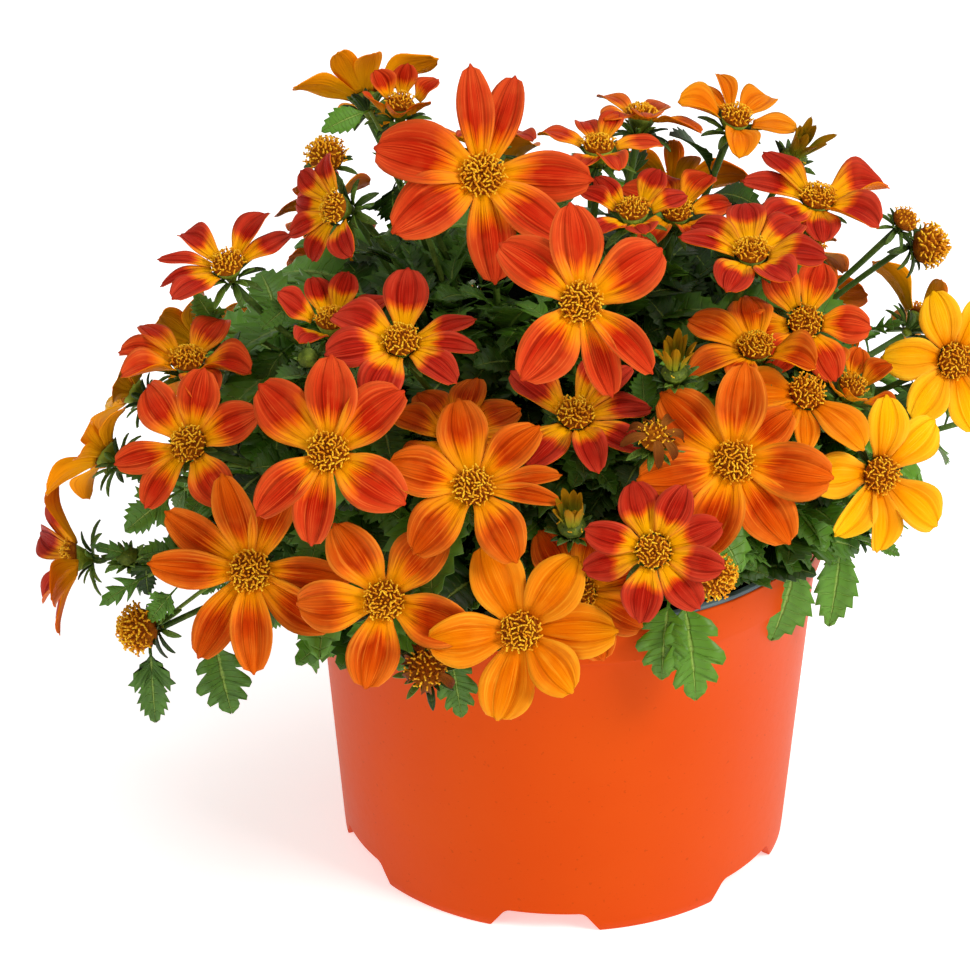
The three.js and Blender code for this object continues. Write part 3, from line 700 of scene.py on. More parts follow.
EMBER = PetalFinish(
    "petal_ember",
    (
        (0.0, "FBB206"), (0.24, "F99C05"), (0.36, "EA6404"), (0.47, "BC2208"), (0.68, "C0260E"),
        (1.0, "D23E1A"),
    ),
    vein="7C1004",
    margin="F27634",
    ragged=0.24,
)
FIRE = PetalFinish(
    "petal_fire",
    ((0.0, "FCB804"), (0.3, "FBA804"), (0.39, "E45604"), (0.47, "AC160A"), (0.75, "AC1C10"), (1.0, "C03420")),
    vein="680806",
    margin="DC5638",
    ragged=0.12,
)
ORANGE = PetalFinish(
    "petal_orange",
    ((0.0, "FBA804"), (0.26, "F79004"), (0.4, "DA5204"), (0.5, "B83002"), (0.7, "C84404"), (1.0, "DA5A08")),
    vein="8E2402",
    margin="F6942E",
    ragged=0.24,
    streaks=0.6,
)
GOLD = PetalFinish(
    "petal_gold",
    ((0.0, "EA8002"), (0.22, "E27202"), (0.5, "DE6C02"), (0.8, "E47A02"), (1.0, "EE8E06")),
    vein="C04C02",
    margin="FCB02C",
    ragged=0.3,
    streaks=0.5,
)
SUNNY = PetalFinish(
    "petal_sunny",
    ((0.0, "F08402"), (0.2, "F79A02"), (0.45, "FBAA04"), (0.75, "FCB406"), (1.0, "FDBE0A")),
    vein="E07C02",
    margin="FED03C",
    ragged=0.3,
    streaks=0.35,
)
FLAME_BACK = BackFinish("petal_back_flame", "F09606", "DC6406", "A83A04")
GOLD_BACK = BackFinish("petal_back_gold", "FCA80A", "F8940A", "CC6606")
FLORET_ARM = SpeckledFinish("floret_gold", "E8960A", "FFCB2C", 0.5, 900.0, 3000.0, 0.0001, 0.15)
FLORET_TUBE = SpeckledFinish("floret_amber", "C06C04", "F6AE14", 0.6, 900.0, 3000.0, 0.0001, 0.15)
DISC_BED = SpeckledFinish("disc_bed", "7A3602", "C67A08", 0.8, 700.0, 2600.0, 0.0003, 0.1)
LEAF_TOP = LeafFinish("leaf_green", "1A3404", "568616", "9AB64E", 0.33)
LEAF_UNDER = LeafFinish("leaf_underside", "1E3A06", "588A1A", "9CB854", 0.38)
STALK_SKIN = SpeckledFinish("stalk_green", "35500C", "86A040", 0.5, 260.0, 1800.0, 0.0003, 0.25)
BRACT_SKIN = LeafFinish("bract_green", "203A06", "567418", "90A844", 0.45, 4.0)
CUP_SKIN = SpeckledFinish("cup_green", "3A4C0A", "8A9A24", 0.5, 500.0, 2400.0, 0.0003, 0.25)
DRY_SKIN = BackFinish("petal_dried", "9A5A20", "6A3412", "3A1808")
YOUNG_SKIN = BackFinish("petal_unfolding", "8E9420", "A8740C", "4A3406")
# Painted shade: the bush's inside is a near-black green, darker than its leaves, standing for the shade among
# them.
THICKET_SHADE_PAINT = SpeckledFinish("inner_shade", "050A03", "12200A", 0.9, 160.0, 900.0, 0.003, 0.1)
SOIL_SKIN = SpeckledFinish("peat", "0E0906", "3A2718", 0.95, 420.0, 2400.0, 0.0012, 0.15)
POT_SKIN = PlasticFinish("pot_orange", "CE4608", "D65210", "A03206")
LINING_SKIN = PlasticFinish("pot_grey", "5C6C72", "6E7E84", "3E484C", 0.4, 0.3, "FFFFFF")


class Palette:
    """Every finish, made at its first use."""

    def __init__(self) -> None:
        """Starts with none made."""
        self.made: dict[str, bpy.types.Material] = {}

    def of(self, *finishes: object) -> list[bpy.types.Material]:
        """Returns the materials of some finishes, in order."""
        for finish in finishes:
            if finish.name not in self.made:
                self.made[finish.name] = finish.make()
        return [self.made[finish.name] for finish in finishes]


# The plant's plan, in millimetres


class Kind(Enum):
    """A bloom's colouring."""

    EMBER = "ember"
    FIRE = "fire"
    ORANGE = "orange"
    GOLD = "gold"


PETAL_FINISH = {Kind.EMBER: EMBER, Kind.FIRE: FIRE, Kind.ORANGE: ORANGE, Kind.GOLD: GOLD}
BACK_FINISH = {Kind.EMBER: FLAME_BACK, Kind.FIRE: FLAME_BACK, Kind.ORANGE: GOLD_BACK, Kind.GOLD: GOLD_BACK}

DISC_RADIUS = 5.9
DISC_ROOT = 5.5
DISC_BASE = 1.0
PETAL_HALF_WIDTH = 0.29
PETAL_ROOM = 0.6
PETAL_WIDEST = 0.45
PETAL_LAYER = 5.0
PETAL_LENGTH = 18.0
PETAL_HALF = 6.0
BED_HEIGHT = 1.9
CUP_HEIGHT = 6.2
CUP_LENGTH = 6.0
CUP_GAP = 0.3
FRONT_VIEW_TILT = 28.0
STEEPEST_VIEW = 0.35


@dataclass(frozen=True)
class PetalPlan:
    """One petal of a bloom: its angle in the bloom's plane, its share of the reach and its half width.

    The layer is -1, 0 or 1, so that neighbours pass over each other.
    """

    angle: float
    length: float
    half: float
    layer: int


class Placed:
    """What has its middle at a place and faces a turn and a tilt."""

    @cached_property
    def centre(self) -> np.ndarray:
        """Returns its middle, for a bloom the middle of the petals' roots."""
        return np.array(self.at, float)

    @cached_property
    def axis(self) -> np.ndarray:
        """Returns the way it faces."""
        tilt = math.radians(self.tilt)
        return heading(self.turn) * math.cos(tilt) + UP * math.sin(tilt)


@dataclass(frozen=True)
class Bloom(Placed):
    """Where a bloom's petals meet, which way its disc faces, and its petals as seen from the front.

    A shorter petal is an angle with its share of the reach.
    """

    at: tuple[float, float, float]
    turn: float
    tilt: float
    reach: float
    kind: Kind
    petals: tuple
    lift: float = 22.0
    curl: float = 38.0

    @cached_property
    def first(self) -> np.ndarray:
        """Returns the level direction in the bloom's plane."""
        return heading(self.turn + 90)

    @cached_property
    def second(self) -> np.ndarray:
        """Returns the direction in the bloom's plane that is square to the level one."""
        return np.cross(self.axis, self.first)

    @property
    def cup_base(self) -> np.ndarray:
        """Returns where the stalk meets the green cup."""
        return self.centre - self.axis * (DISC_BASE + CUP_GAP + CUP_LENGTH)

    def path(self, share: np.ndarray | float, lift_more: float = 0.0) -> tuple:
        """Follows a petal's rib, an arc that rises from the disc and bends back.

        Args:
            share: how far along the petal, from 0 to 1.
            lift_more: degrees that it rises beyond the bloom's own.

        Returns:
            The distance out and up, and the slope in radians.
        """
        length = self.reach - DISC_ROOT
        lift = math.radians(self.lift + lift_more)
        curl = math.radians(self.curl)
        slope = lift - curl * share
        out = DISC_ROOT + length * (np.sin(lift) - np.sin(slope)) / curl
        up = length * (np.cos(slope) - np.cos(lift)) / curl
        return out, up, slope

    def plane_angle(self, seen: float) -> float:
        """Returns the angle in the bloom's plane of one seen from the front, in degrees."""
        tilt = math.radians(FRONT_VIEW_TILT)
        look = vec(0, math.cos(tilt), -math.sin(tilt))
        right = vec(1, 0, 0)
        above = np.cross(right, look)
        way = right * math.cos(math.radians(seen)) + above * math.sin(math.radians(seen))
        towards = look @ self.axis
        steady = math.copysign(max(abs(towards), STEEPEST_VIEW), towards)
        way = way - look * (way @ self.axis) / steady
        return math.degrees(math.atan2(way @ self.second, way @ self.first)) % 360

    def petal_plans(self) -> list[PetalPlan]:
        """Returns the petals in turn, each as wide as its neighbours leave room for."""
        entries = [entry if isinstance(entry, tuple) else (entry, 1.0) for entry in self.petals]
        plans = sorted((self.plane_angle(seen), length) for seen, length in entries)
        count = len(plans)
        gaps = [(plans[(index + 1) % count][0] - plans[index][0]) % 360 for index in range(count)]
        found = []
        for index, (angle, length) in enumerate(plans):
            widest = self.path(PETAL_WIDEST * length)[0]
            room = math.radians(min(gaps[index], gaps[index - 1])) * PETAL_ROOM * widest
            odd = count % 2 == 1 and index == count - 1
            layer = 0 if odd else (1 if index % 2 else -1)
            half = min(PETAL_HALF_WIDTH * self.reach, room)
            found.append(PetalPlan(angle, length, half, layer))
        return found


BLOOMS = (
    Bloom((-21, -24, 193), 5, 38, 27, Kind.EMBER, (97, 67, 358, 318, 280, 212, 163)),
    Bloom((2, -62, 178), 8, 30, 24, Kind.EMBER, (96, 30, 318, 288, 232, 141)),
    Bloom((-40, -54, 164), -5, 58, 19, Kind.FIRE, (82, 15, 354, 321, 243, 195, 153)),
    Bloom((-91, -51, 135), -15, 35, 19, Kind.EMBER, (74, 133, 200, 234, 304, 22)),
    Bloom((-57, -74, 145), -5, 35, 23, Kind.EMBER, (83, 37, 323, 258, 221, 141)),
    Bloom((-23, -78, 138), 0, 38, 21.5, Kind.ORANGE, (105, 46, 8, 349, 303, 223, 166)),
    Bloom((1, -61, 148), 5, 62, 19, Kind.FIRE, (150, 70, 40, 8, 325, 290, 228)),
    Bloom((38, -71, 141), 5, 28, 24, Kind.ORANGE, (86, (43, 0.7), 351, 301, 254, 196, 141)),
    Bloom((19, -86.5, 125.5), 0, 28, 17.5, Kind.FIRE, (110, 65, 24, 345, 305, 253, 195, 159)),
    Bloom((-12, -90, 106), 0, 22, 23, Kind.GOLD, (116, 53, 3, (313, 0.8), 256, 187)),
    Bloom((-44, -84, 111), -5, 25, 22, Kind.EMBER, (54, 118, 187, 260, 340)),
    Bloom((-76, -70, 111), 0, 25, 25, Kind.EMBER, (101, 67, 355, 321, 270, 235, 181, 148)),
    Bloom((-82, -25, 170), -25, 68, 17.5, Kind.FIRE, (52, 23, 148, 178, 193, 222)),
    Bloom((-92, -29.5, 146.5), -10, 78, 18, Kind.EMBER, (173, 148, 48, 345, 200, 300)),
    Bloom((-56, -25, 185), -50, 25, 15, Kind.FIRE, (100, 130, 170, 215, 245, 290)),
    Bloom((-57, -39, 162), -10, 80, 15, Kind.FIRE, (10, 60, 120, 170, 230, 320), 40, 20),
    Bloom((-113, -32, 123), -120, 25, 19, Kind.ORANGE, (180, 75, 220, 255, 118, 310)),
    Bloom((-122, -28, 91), -82, 5, 20, Kind.FIRE, (95, 130, 215, 245, 265, 300), 34, 30),
    Bloom((-50, 27, 191), -165, 35, 21, Kind.GOLD, (20, 75, 135, 175, 250, 310)),
    Bloom((-41, 9, 197), 0, 80, 12, Kind.EMBER, (20, 80, 140, 200, 260, 320), 52, 10),
    Bloom((18, 13, 192), 150, 70, 17, Kind.EMBER, (30, 100, 150, 200, 280, 340)),
    Bloom((7, -9.5, 194), 0, 88, 16, Kind.ORANGE, (5, 60, 115, 170, (235, 0.75), 300)),
    Bloom((41, 14, 191), 50, 70, 15.5, Kind.GOLD, (340, 40, 110, 135, 170, 275)),
    Bloom((60, -9, 180), 22, 75, 19, Kind.FIRE, (15, 330, 140, 165, 215, (275, 0.8))),
    Bloom((15, -25.5, 184.5), -5, 75, 14, Kind.FIRE, (168, 140, 45, 10, 220, 290), 34, 30),
    Bloom((26, -8, 176), 15, 72, 15, Kind.EMBER, (47, 10, 110, 160, 220, 300)),
    Bloom((43, -35, 178), 5, 77, 18, Kind.FIRE, (100, 150, 175, (230, 0.8), (310, 0.8), 30, 355)),
    Bloom((56, -36, 160), 5, 45, 16.5, Kind.EMBER, (125, 70, 355, 300, 240, 190)),
    Bloom((44, -47.5, 159), -5, 75, 19, Kind.ORANGE, (95, 160, 197, (235, 0.7), (340, 0.8))),
    Bloom((56, -51.5, 149), 25, 50, 20, Kind.GOLD, (180, 225, (262, 0.7), 312)),
    Bloom((67.6, -40.2, 145), 60, 65, 12.5, Kind.ORANGE, (20, 80, 140, 200, 260, 320), 50, 20),
    Bloom((74, -55, 129), 20, 22, 19.5, Kind.GOLD, (86, 44, 320, 268, 235, 178)),
    Bloom((94, -19, 141), 10, 25, 18.5, Kind.GOLD, (115, 172, 228, 285, 340, 60)),
    Bloom((-27, -57, 140.5), -5, 65, 17, Kind.ORANGE, (165, 125, 75, 25, 335, 215)),
    Bloom((2, -68, 104), 5, 30, 18, Kind.ORANGE, (125, 75, 25, 335, 290)),
    Bloom((118, 24, 112), 150, 20, 18, Kind.GOLD, (10, 65, 125, 180, 245, 300)),
    Bloom((92, 50, 118), 130, 22, 20, Kind.ORANGE, (25, 80, 130, 185, 235, 300)),
    Bloom((62, 72, 112), 150, 15, 21, Kind.EMBER, (0, 55, 105, 160, 215, 265, 315)),
    Bloom((25, 89, 118), 172, 18, 22, Kind.FIRE, (15, 70, 130, 190, 245, 310)),
    Bloom((-18, 91.5, 112), 185, 15, 20, Kind.GOLD, (40, 90, 145, 200, 265, 330)),
    Bloom((-58, 81, 116), 205, 20, 21, Kind.EMBER, (5, 60, 110, 165, 220, 275, 320)),
    Bloom((-95, 56, 108), 225, 15, 20, Kind.ORANGE, (30, 85, 140, 200, 255, 315)),
    Bloom((-110, 22, 112), 250, 25, 17, Kind.GOLD, (15, 75, 135, 195, 255, 315)),
    Bloom((62, 46, 142), 135, 40, 20, Kind.FIRE, (20, 75, 130, 185, 240, 300)),
    Bloom((28, 62, 150), 165, 38, 22, Kind.EMBER, (0, 50, 100, 150, 205, 260, 310)),
    Bloom((-18, 64, 152), 190, 40, 21, Kind.ORANGE, (35, 90, 145, 205, 260, 320)),
    Bloom((-62, 50, 150), 220, 40, 20, Kind.FIRE, (10, 70, 125, 180, 240, 300)),
    Bloom((-20, 38, 174), 180, 62, 20, Kind.EMBER, (25, 80, 130, 185, 240, 295, 335)),
)


OWN_FINISH = {11: ORANGE, 12: ORANGE, 21: ORANGE, 22: EMBER, 32: SUNNY, 33: SUNNY, 36: SUNNY, 43: SUNNY}


class HeadKind(Enum):
    """What sits on a stalk that has no open bloom."""

    SEED = "seed"
    TIGHT = "tight"
    BUD = "bud"
    OPENING = "opening"
    DRIED = "dried"


@dataclass(frozen=True)
class Head(Placed):
    """A bud or spent head: where it sits, its radius, its kind and which way it faces."""

    at: tuple[float, float, float]
    radius: float
    kind: HeadKind
    turn: float
    tilt: float

    @property
    def base(self) -> np.ndarray:
        """Returns where its stalk ends."""
        return self.centre - self.axis * self.radius * 1.6


HEADS = (
    Head((-59, -4, 190), 4.6, HeadKind.SEED, -20, 60),
    Head((83, 0, 171), 3.6, HeadKind.TIGHT, 60, 55),
    Head((90, 2, 162), 5.0, HeadKind.SEED, 62, 14),
    Head((-106, -51, 84), 5.4, HeadKind.SEED, -58, 12),
    Head((35, -80, 115), 5.0, HeadKind.SEED, 40, 14),
    Head((19.5, -75, 150.5), 4.2, HeadKind.DRIED, 10, 60),
    Head((56, 11, 183), 4.5, HeadKind.OPENING, 40, 60),
    Head((-34, -88, 95), 5.0, HeadKind.DRIED, 0, 40),
    Head((0, -80, 130), 4.5, HeadKind.OPENING, 0, 62),
    Head((24, -65, 163), 4.2, HeadKind.OPENING, 0, 75),
    Head((-107, -48, 103), 3.6, HeadKind.BUD, -20, 60),
    Head((-62, -55, 160), 3.2, HeadKind.BUD, -10, 40),
)

BORDERS = (-124.0, -94.0, -59.0, -13.0, 17.6, 49.9, 95.4, 132.0, 178.0)
INNER_RADIUS = 20.5
REGION_CLEARANCE = 0.5
STEM_RING = 32.0
CORE_CENTRE = vec(-5, 3, 84)
CORE_RADII = vec(76, 60, 78)
CORE_UNDERSIDE = 94.0
STALK_FOOT = 0.91
POT_HEIGHT = 92.2
POT_RIM = 65.0
SOIL_TOP = 83.0


class Ground:
    """The ground of each leafy stem: a middle column, and a wedge between each two borders."""

    def __init__(self) -> None:
        """Lists the wedges as pairs of angles."""
        self.wedges = [
            (low, high if high > low else high + 360)
            for low, high in zip(BORDERS, (*BORDERS[1:], BORDERS[0]))
        ]
        self.count = len(self.wedges) + 1

    def depth(self, region: int, points: np.ndarray) -> np.ndarray:
        """Tells how far points lie inside a region: below zero is outside it.

        Args:
            region: its number, 0 for the middle column.
            points: the points, one row each.

        Returns:
            The depths.
        """
        radius = np.hypot(points[:, 0], points[:, 1])
        if region == 0:
            return INNER_RADIUS - radius
        low, high = (math.radians(turn) for turn in self.wedges[region - 1])
        past_low = points[:, 0] * math.cos(low) + points[:, 1] * math.sin(low)
        past_high = points[:, 0] * math.cos(high) + points[:, 1] * math.sin(high)
        return np.minimum(np.minimum(radius - INNER_RADIUS, past_low), -past_high)

    def of(self, point: np.ndarray) -> int:
        """Returns the region that a point lies deepest in."""
        depths = [self.depth(region, point[None])[0] for region in range(self.count)]
        return int(np.argmax(depths))

    def stem_place(self, region: int) -> np.ndarray:
        """Returns where a leafy stem's hole is, on the ground plane."""
        if region == 0:
            return vec(0, 0, 0)
        return heading(sum(self.wedges[region - 1]) / 2) * STEM_RING


def stem_name(region: int) -> str:
    """Returns the node of the leafy stem that stands on a region."""
    return f"leafy_stem_{region + 1:02d}"


def core_foot(point: np.ndarray) -> np.ndarray:
    """Returns the spot just inside the bush's dense middle that faces a point."""
    way = point - CORE_CENTRE
    foot = CORE_CENTRE + way * STALK_FOOT / np.linalg.norm(way / CORE_RADII)
    foot[2] = max(foot[2], CORE_UNDERSIDE + 3)
    return foot


def same_turn(point: np.ndarray, guide: np.ndarray) -> np.ndarray:
    """Returns a point turned about the middle to a guide's own heading."""
    guide_radius = math.hypot(guide[0], guide[1])
    inner = INNER_RADIUS + 2 if guide_radius > INNER_RADIUS else 0
    radius = max(inner, math.hypot(point[0], point[1]))
    return vec(guide[0] * radius / guide_radius, guide[1] * radius / guide_radius, point[2])


def stalk_path(base: np.ndarray, axis: np.ndarray, ground: Ground) -> np.ndarray:
    """Plans a stalk from deep in the bush out to a cup or head.

    Args:
        base: where it ends.
        axis: the way its end faces.
        ground: the leafy stems' ground.

    Returns:
        Points along its middle.
    """
    foot = same_turn(core_foot(base), base)
    elbow = same_turn(foot + (base - foot) * 0.6 - axis * 3, base)
    deep = ground.stem_place(ground.of(base)) * 0.8 + UP * (CORE_UNDERSIDE + 8)
    deeper = deep + (foot - deep) * 0.45 + UP * 6
    return smooth_path([deep, deeper, foot, elbow, base], 15)


# Masters: each is modelled once on the bench, in millimetres


@dataclass(frozen=True)
class PetalMaster:
    """A flat-laid petal, 18 mm long and 12 mm wide, pleated along two grooves."""

    length: float = PETAL_LENGTH
    half: float = PETAL_HALF
    thickness: float = 0.34
    columns: tuple[float, ...] = (-1.0, -0.74, -0.42, -0.2, 0.0, 0.2, 0.42, 0.74, 1.0)
    widths: tuple[float, ...] = (
        0.40, 0.47, 0.56, 0.68, 0.79, 0.885, 0.955, 0.995, 1.0, 0.965, 0.89, 0.785, 0.64, 0.46, 0.22,
    )
    groove: float = 0.5
    groove_notch: float = 0.022
    shoulder_fall: float = 0.045
    pillow: float = 0.28
    middle_share: float = 0.6

    def on_groove(self, across: float) -> bool:
        """Tells whether a corner started on one of the two grooves."""
        return abs(abs(across) - 0.5) < NEAR

    def model(self) -> Pattern:
        """Returns the petal's pattern."""
        bench = Bench("petal").grid(len(self.columns) - 1, len(self.widths) - 1)
        step = 2 / (len(self.columns) - 1)
        for index, place in enumerate(self.columns):
            start = -1 + index * step
            bench.pick(lambda corner, start=start: abs(corner.x - start) < NEAR)
            bench.move(place - start, 0, 0)
        rows = len(self.widths) - 1
        for row, width in enumerate(self.widths):
            bench.pick_row(row / rows)
            bench.scale(width, 1, 1)
            if row == 0:
                continue
            fade = math.sin(math.pi * min(1.0, 0.1 + 0.92 * row / rows)) ** 0.5
            bench.pick_row(row / rows, self.on_groove)
            bench.move(0, 0, -self.groove * fade)
            bench.pick_row(row / rows, lambda across: abs(abs(across) - 0.75) < NEAR)
            bench.move(0, 0, self.pillow * fade)
            bench.pick_row(row / rows, lambda across: abs(across) < 0.3)
            bench.move(0, 0, self.pillow * self.middle_share * fade)
        bench.pick_row(1.0, self.on_groove)
        bench.move(0, -self.groove_notch, 0)
        bench.pick_row(1.0, lambda across: abs(across) > 0.7)
        bench.move(0, -self.shoulder_fall, 0)
        bench.pick(lambda corner: True)
        bench.scale(self.half, self.length, 1)
        bench.close()
        bench.thicken(self.thickness, 1)
        return bench.lift_off()


@dataclass(frozen=True)
class LeafMaster:
    """A leaf of length one, laid flat: rows that run from the midrib to the toothed edge.

    Each row is its place on the midrib, and how far out and along its edge point lies.
    """

    rows: tuple[tuple[float, float, float], ...]
    fold: float = 0.10
    quilt: float = 0.014
    thickness: float = 0.012
    halves: int = 2

    def model(self) -> Pattern:
        """Returns the leaf's pattern."""
        count = len(self.rows) - 1
        bench = Bench("leaf").grid(2 * self.halves, count)
        for row, (rib, out, along) in enumerate(self.rows):
            start = row / count
            bench.pick_row(start)
            bench.scale(out, 1, 1)
            bench.move(0, rib - start, 0)
            for half in range(1, self.halves + 1):
                share = half / self.halves
                bench.pick_row(start, lambda across, share=share: abs(abs(across) - share) < NEAR)
                ripple = self.quilt * (1 if row % 2 else -1) if share < 1 else 0.0
                bench.move(0, share * (along - rib), share * share * out * self.fold + ripple)
        bench.close()
        bench.thicken(self.thickness, 0)
        return bench.lift_off()


class Leaf(Enum):
    """A leaf's form."""

    TERNATE = LeafMaster(
        (
            (0.0, 0.016, 0.0), (0.15, 0.018, 0.15), (0.27, 0.024, 0.275), (0.285, 0.10, 0.33),
            (0.295, 0.185, 0.345), (0.305, 0.20, 0.405), (0.315, 0.29, 0.42),
            (0.325, 0.295, 0.485), (0.34, 0.385, 0.53), (0.355, 0.29, 0.555), (0.365, 0.285, 0.62),
            (0.375, 0.19, 0.57), (0.39, 0.17, 0.615), (0.405, 0.09, 0.53), (0.425, 0.03, 0.45),
            (0.47, 0.045, 0.48), (0.50, 0.135, 0.545), (0.525, 0.235, 0.625), (0.55, 0.19, 0.64),
            (0.59, 0.265, 0.735), (0.62, 0.20, 0.735), (0.68, 0.225, 0.825), (0.72, 0.155, 0.81),
            (0.78, 0.165, 0.89), (0.83, 0.10, 0.885), (0.9, 0.08, 0.955), (1.0, 0.008, 1.0),
        ),
    )
    SERRATE = LeafMaster(
        (
            (0.0, 0.016, 0.0), (0.16, 0.022, 0.17), (0.22, 0.11, 0.29), (0.27, 0.215, 0.37),
            (0.31, 0.19, 0.385), (0.38, 0.285, 0.505), (0.43, 0.245, 0.515), (0.51, 0.30, 0.635),
            (0.56, 0.235, 0.64), (0.64, 0.25, 0.76), (0.69, 0.175, 0.755), (0.78, 0.17, 0.87),
            (0.84, 0.10, 0.875), (0.92, 0.07, 0.96), (1.0, 0.006, 1.0),
        ),
    )
    LOBED = LeafMaster(
        (
            (0.0, 0.014, 0.0), (0.2, 0.02, 0.21), (0.24, 0.20, 0.45), (0.29, 0.26, 0.56),
            (0.33, 0.11, 0.47), (0.42, 0.035, 0.46), (0.48, 0.15, 0.62), (0.56, 0.20, 0.74),
            (0.62, 0.10, 0.71), (0.76, 0.11, 0.87), (0.84, 0.055, 0.9), (1.0, 0.006, 1.0),
        ),
        halves=1,
    )
    ROUNDED = LeafMaster(
        (
            (0.0, 0.016, 0.0), (0.1, 0.02, 0.11), (0.16, 0.13, 0.19), (0.2, 0.24, 0.26),
            (0.25, 0.295, 0.34), (0.29, 0.285, 0.41), (0.31, 0.175, 0.40), (0.36, 0.25, 0.47),
            (0.42, 0.33, 0.55), (0.47, 0.345, 0.62), (0.51, 0.30, 0.68), (0.53, 0.18, 0.655),
            (0.58, 0.22, 0.72), (0.64, 0.25, 0.79), (0.69, 0.225, 0.85), (0.72, 0.12, 0.82),
            (0.79, 0.13, 0.89), (0.86, 0.10, 0.95), (0.94, 0.05, 0.99), (1.0, 0.01, 1.03),
        ),
    )
    SMALL_TERNATE = LeafMaster(TERNATE.rows, halves=1)
    SMALL_SERRATE = LeafMaster(SERRATE.rows, halves=1)


SMALL_LEAVES = (Leaf.SMALL_TERNATE, Leaf.SMALL_SERRATE, Leaf.LOBED)
BRACT = LeafMaster(
    (
        (0.0, 0.07, 0.0), (0.2, 0.10, 0.2), (0.45, 0.135, 0.46), (0.7, 0.12, 0.71), (0.88, 0.075, 0.89),
        (1.0, 0.02, 1.0),
    ),
    fold=0.5,
    quilt=0.0,
    thickness=0.05,
    halves=1,
)


FLORET_PROFILE = ((0.2, 0.0), (0.3, 1.4), (0.42, 2.05), (0.16, 2.2))
BUD_PROFILE = ((0.24, 0.0), (0.42, 1.2), (0.36, 1.75), (0.12, 2.0))
BED_PROFILE = ((4.6, -0.9), (5.3, 0.0), (4.9, 0.7), (3.6, 1.35), (1.8, 1.75), (0.4, BED_HEIGHT))
CUP_PROFILE = ((0.9, 0.0), (1.05, 0.8), (1.35, 1.8), (1.85, 2.8), (2.5, 3.7), (3.1, 4.8), (3.7, CUP_HEIGHT))
ARM_CURL = ((0.05, 0, 1.75), (0.24, 0.03, 2.35), (0.55, 0.16, 2.6), (0.84, 0.1, 2.32))
ARM_RADII = (0.25, 0.27, 0.28, 0.27, 0.19)


class Masters:
    """Every shape that repeats."""

    def __init__(self) -> None:
        """Models the masters."""
        self.petal = PetalMaster().model()
        self.leaves = {leaf: leaf.value.model() for leaf in Leaf}
        self.bract = BRACT.model()
        self.tube = self.model_tube("stalk", 6, 14)
        self.thread = self.model_tube("thread", 3, 4)
        self.floret = self.turned("floret_tube", FLORET_PROFILE, 4)
        self.bud_floret = self.turned("floret_bud", BUD_PROFILE, 5)
        self.bed = self.turned("disc_bed", BED_PROFILE, 18)
        self.cup = self.turned("cup", CUP_PROFILE, 12)
        self.crumb = self.model_crumb()
        self.open_floret = self.join_floret()

    def turned(self, name: str, profile: Sequence[tuple[float, float]], sides: int) -> Pattern:
        """Models a turned shape from its radii and heights, from its foot up."""
        bench = Bench(name).turn(profile, sides)
        bench.close()
        return bench.lift_off()

    def model_tube(self, name: str, sides: int, rows: int) -> Pattern:
        """Returns a straight tube of radius one, whose height counts along a path."""
        return self.turned(name, [(1.0, row / rows) for row in range(rows + 1)], sides)

    def join_floret(self) -> Pattern:
        """Joins a tube with two arms that curl away from each other."""
        parts = [self.floret.moved_to(1)]
        for side in (1.0, -1.0):
            curl = np.array(ARM_CURL) * (side, side, 1.0)
            parts.append(swept(self.thread, smooth_path(list(curl), 5), ARM_RADII))
        return merged(parts)

    def model_crumb(self) -> Pattern:
        """Models a crumb of soil."""
        bench = Bench("crumb")
        bpy.ops.mesh.primitive_ico_sphere_add(subdivisions=1, radius=1.0)
        bench.open()
        bench.pick(lambda corner: corner.z > 0.3)
        bench.scale(0.8, 1.2, 0.75)
        bench.pick(lambda corner: corner.x > 0.3)
        bench.scale(0.85, 0.9, 1.2)
        bench.close()
        return bench.lift_off()


def read_off(rows: np.ndarray, place: np.ndarray) -> np.ndarray:
    """Reads rows of three numbers at places between them, counted from the first row."""
    return np.stack([np.interp(place, np.arange(len(rows)), rows[:, k]) for k in range(3)], axis=1)


def swept(tube: Pattern, path: np.ndarray, radii: Sequence[float]) -> Pattern:
    """Bends a straight tube along a path.

    Args:
        tube: a tube of radius one and height one.
        path: points along its middle.
        radii: its radius, evenly spaced along the path.

    Returns:
        The bent tube.
    """
    ways = np.gradient(path, axis=0)
    ways /= np.linalg.norm(ways, axis=1)[:, None]
    side = np.cross(ways[0], UP if abs(ways[0][2]) < 0.9 else vec(1, 0, 0))
    firsts = []
    for way in ways:
        side = square_to(way, side)
        firsts.append(side)
    firsts = np.array(firsts)
    seconds = np.cross(ways, firsts)
    place = np.clip(tube.points[:, 2], 0, 1) * (len(path) - 1)
    middle, first, second = (read_off(rows, place) for rows in (path, firsts, seconds))
    radius = np.interp(tube.points[:, 2], np.linspace(0, 1, len(radii)), radii)[:, None]
    return tube.moved(middle + radius * (tube.points[:, :1] * first + tube.points[:, 1:2] * second))


# The pieces


def show(piece: bpy.types.Object, slot: str, *nodes: str) -> None:
    """Sets a piece on the frame in place of its nodes.

    Args:
        piece: the finished piece.
        slot: the record's material slot; not used.
        *nodes: the nodes that it stands for.
    """
    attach(piece, "root")
    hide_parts(*nodes)
    faces = sum(len(face.vertices) - 2 for face in piece.data.polygons)
    LOG.info("%s: %d triangles", piece.name, faces)


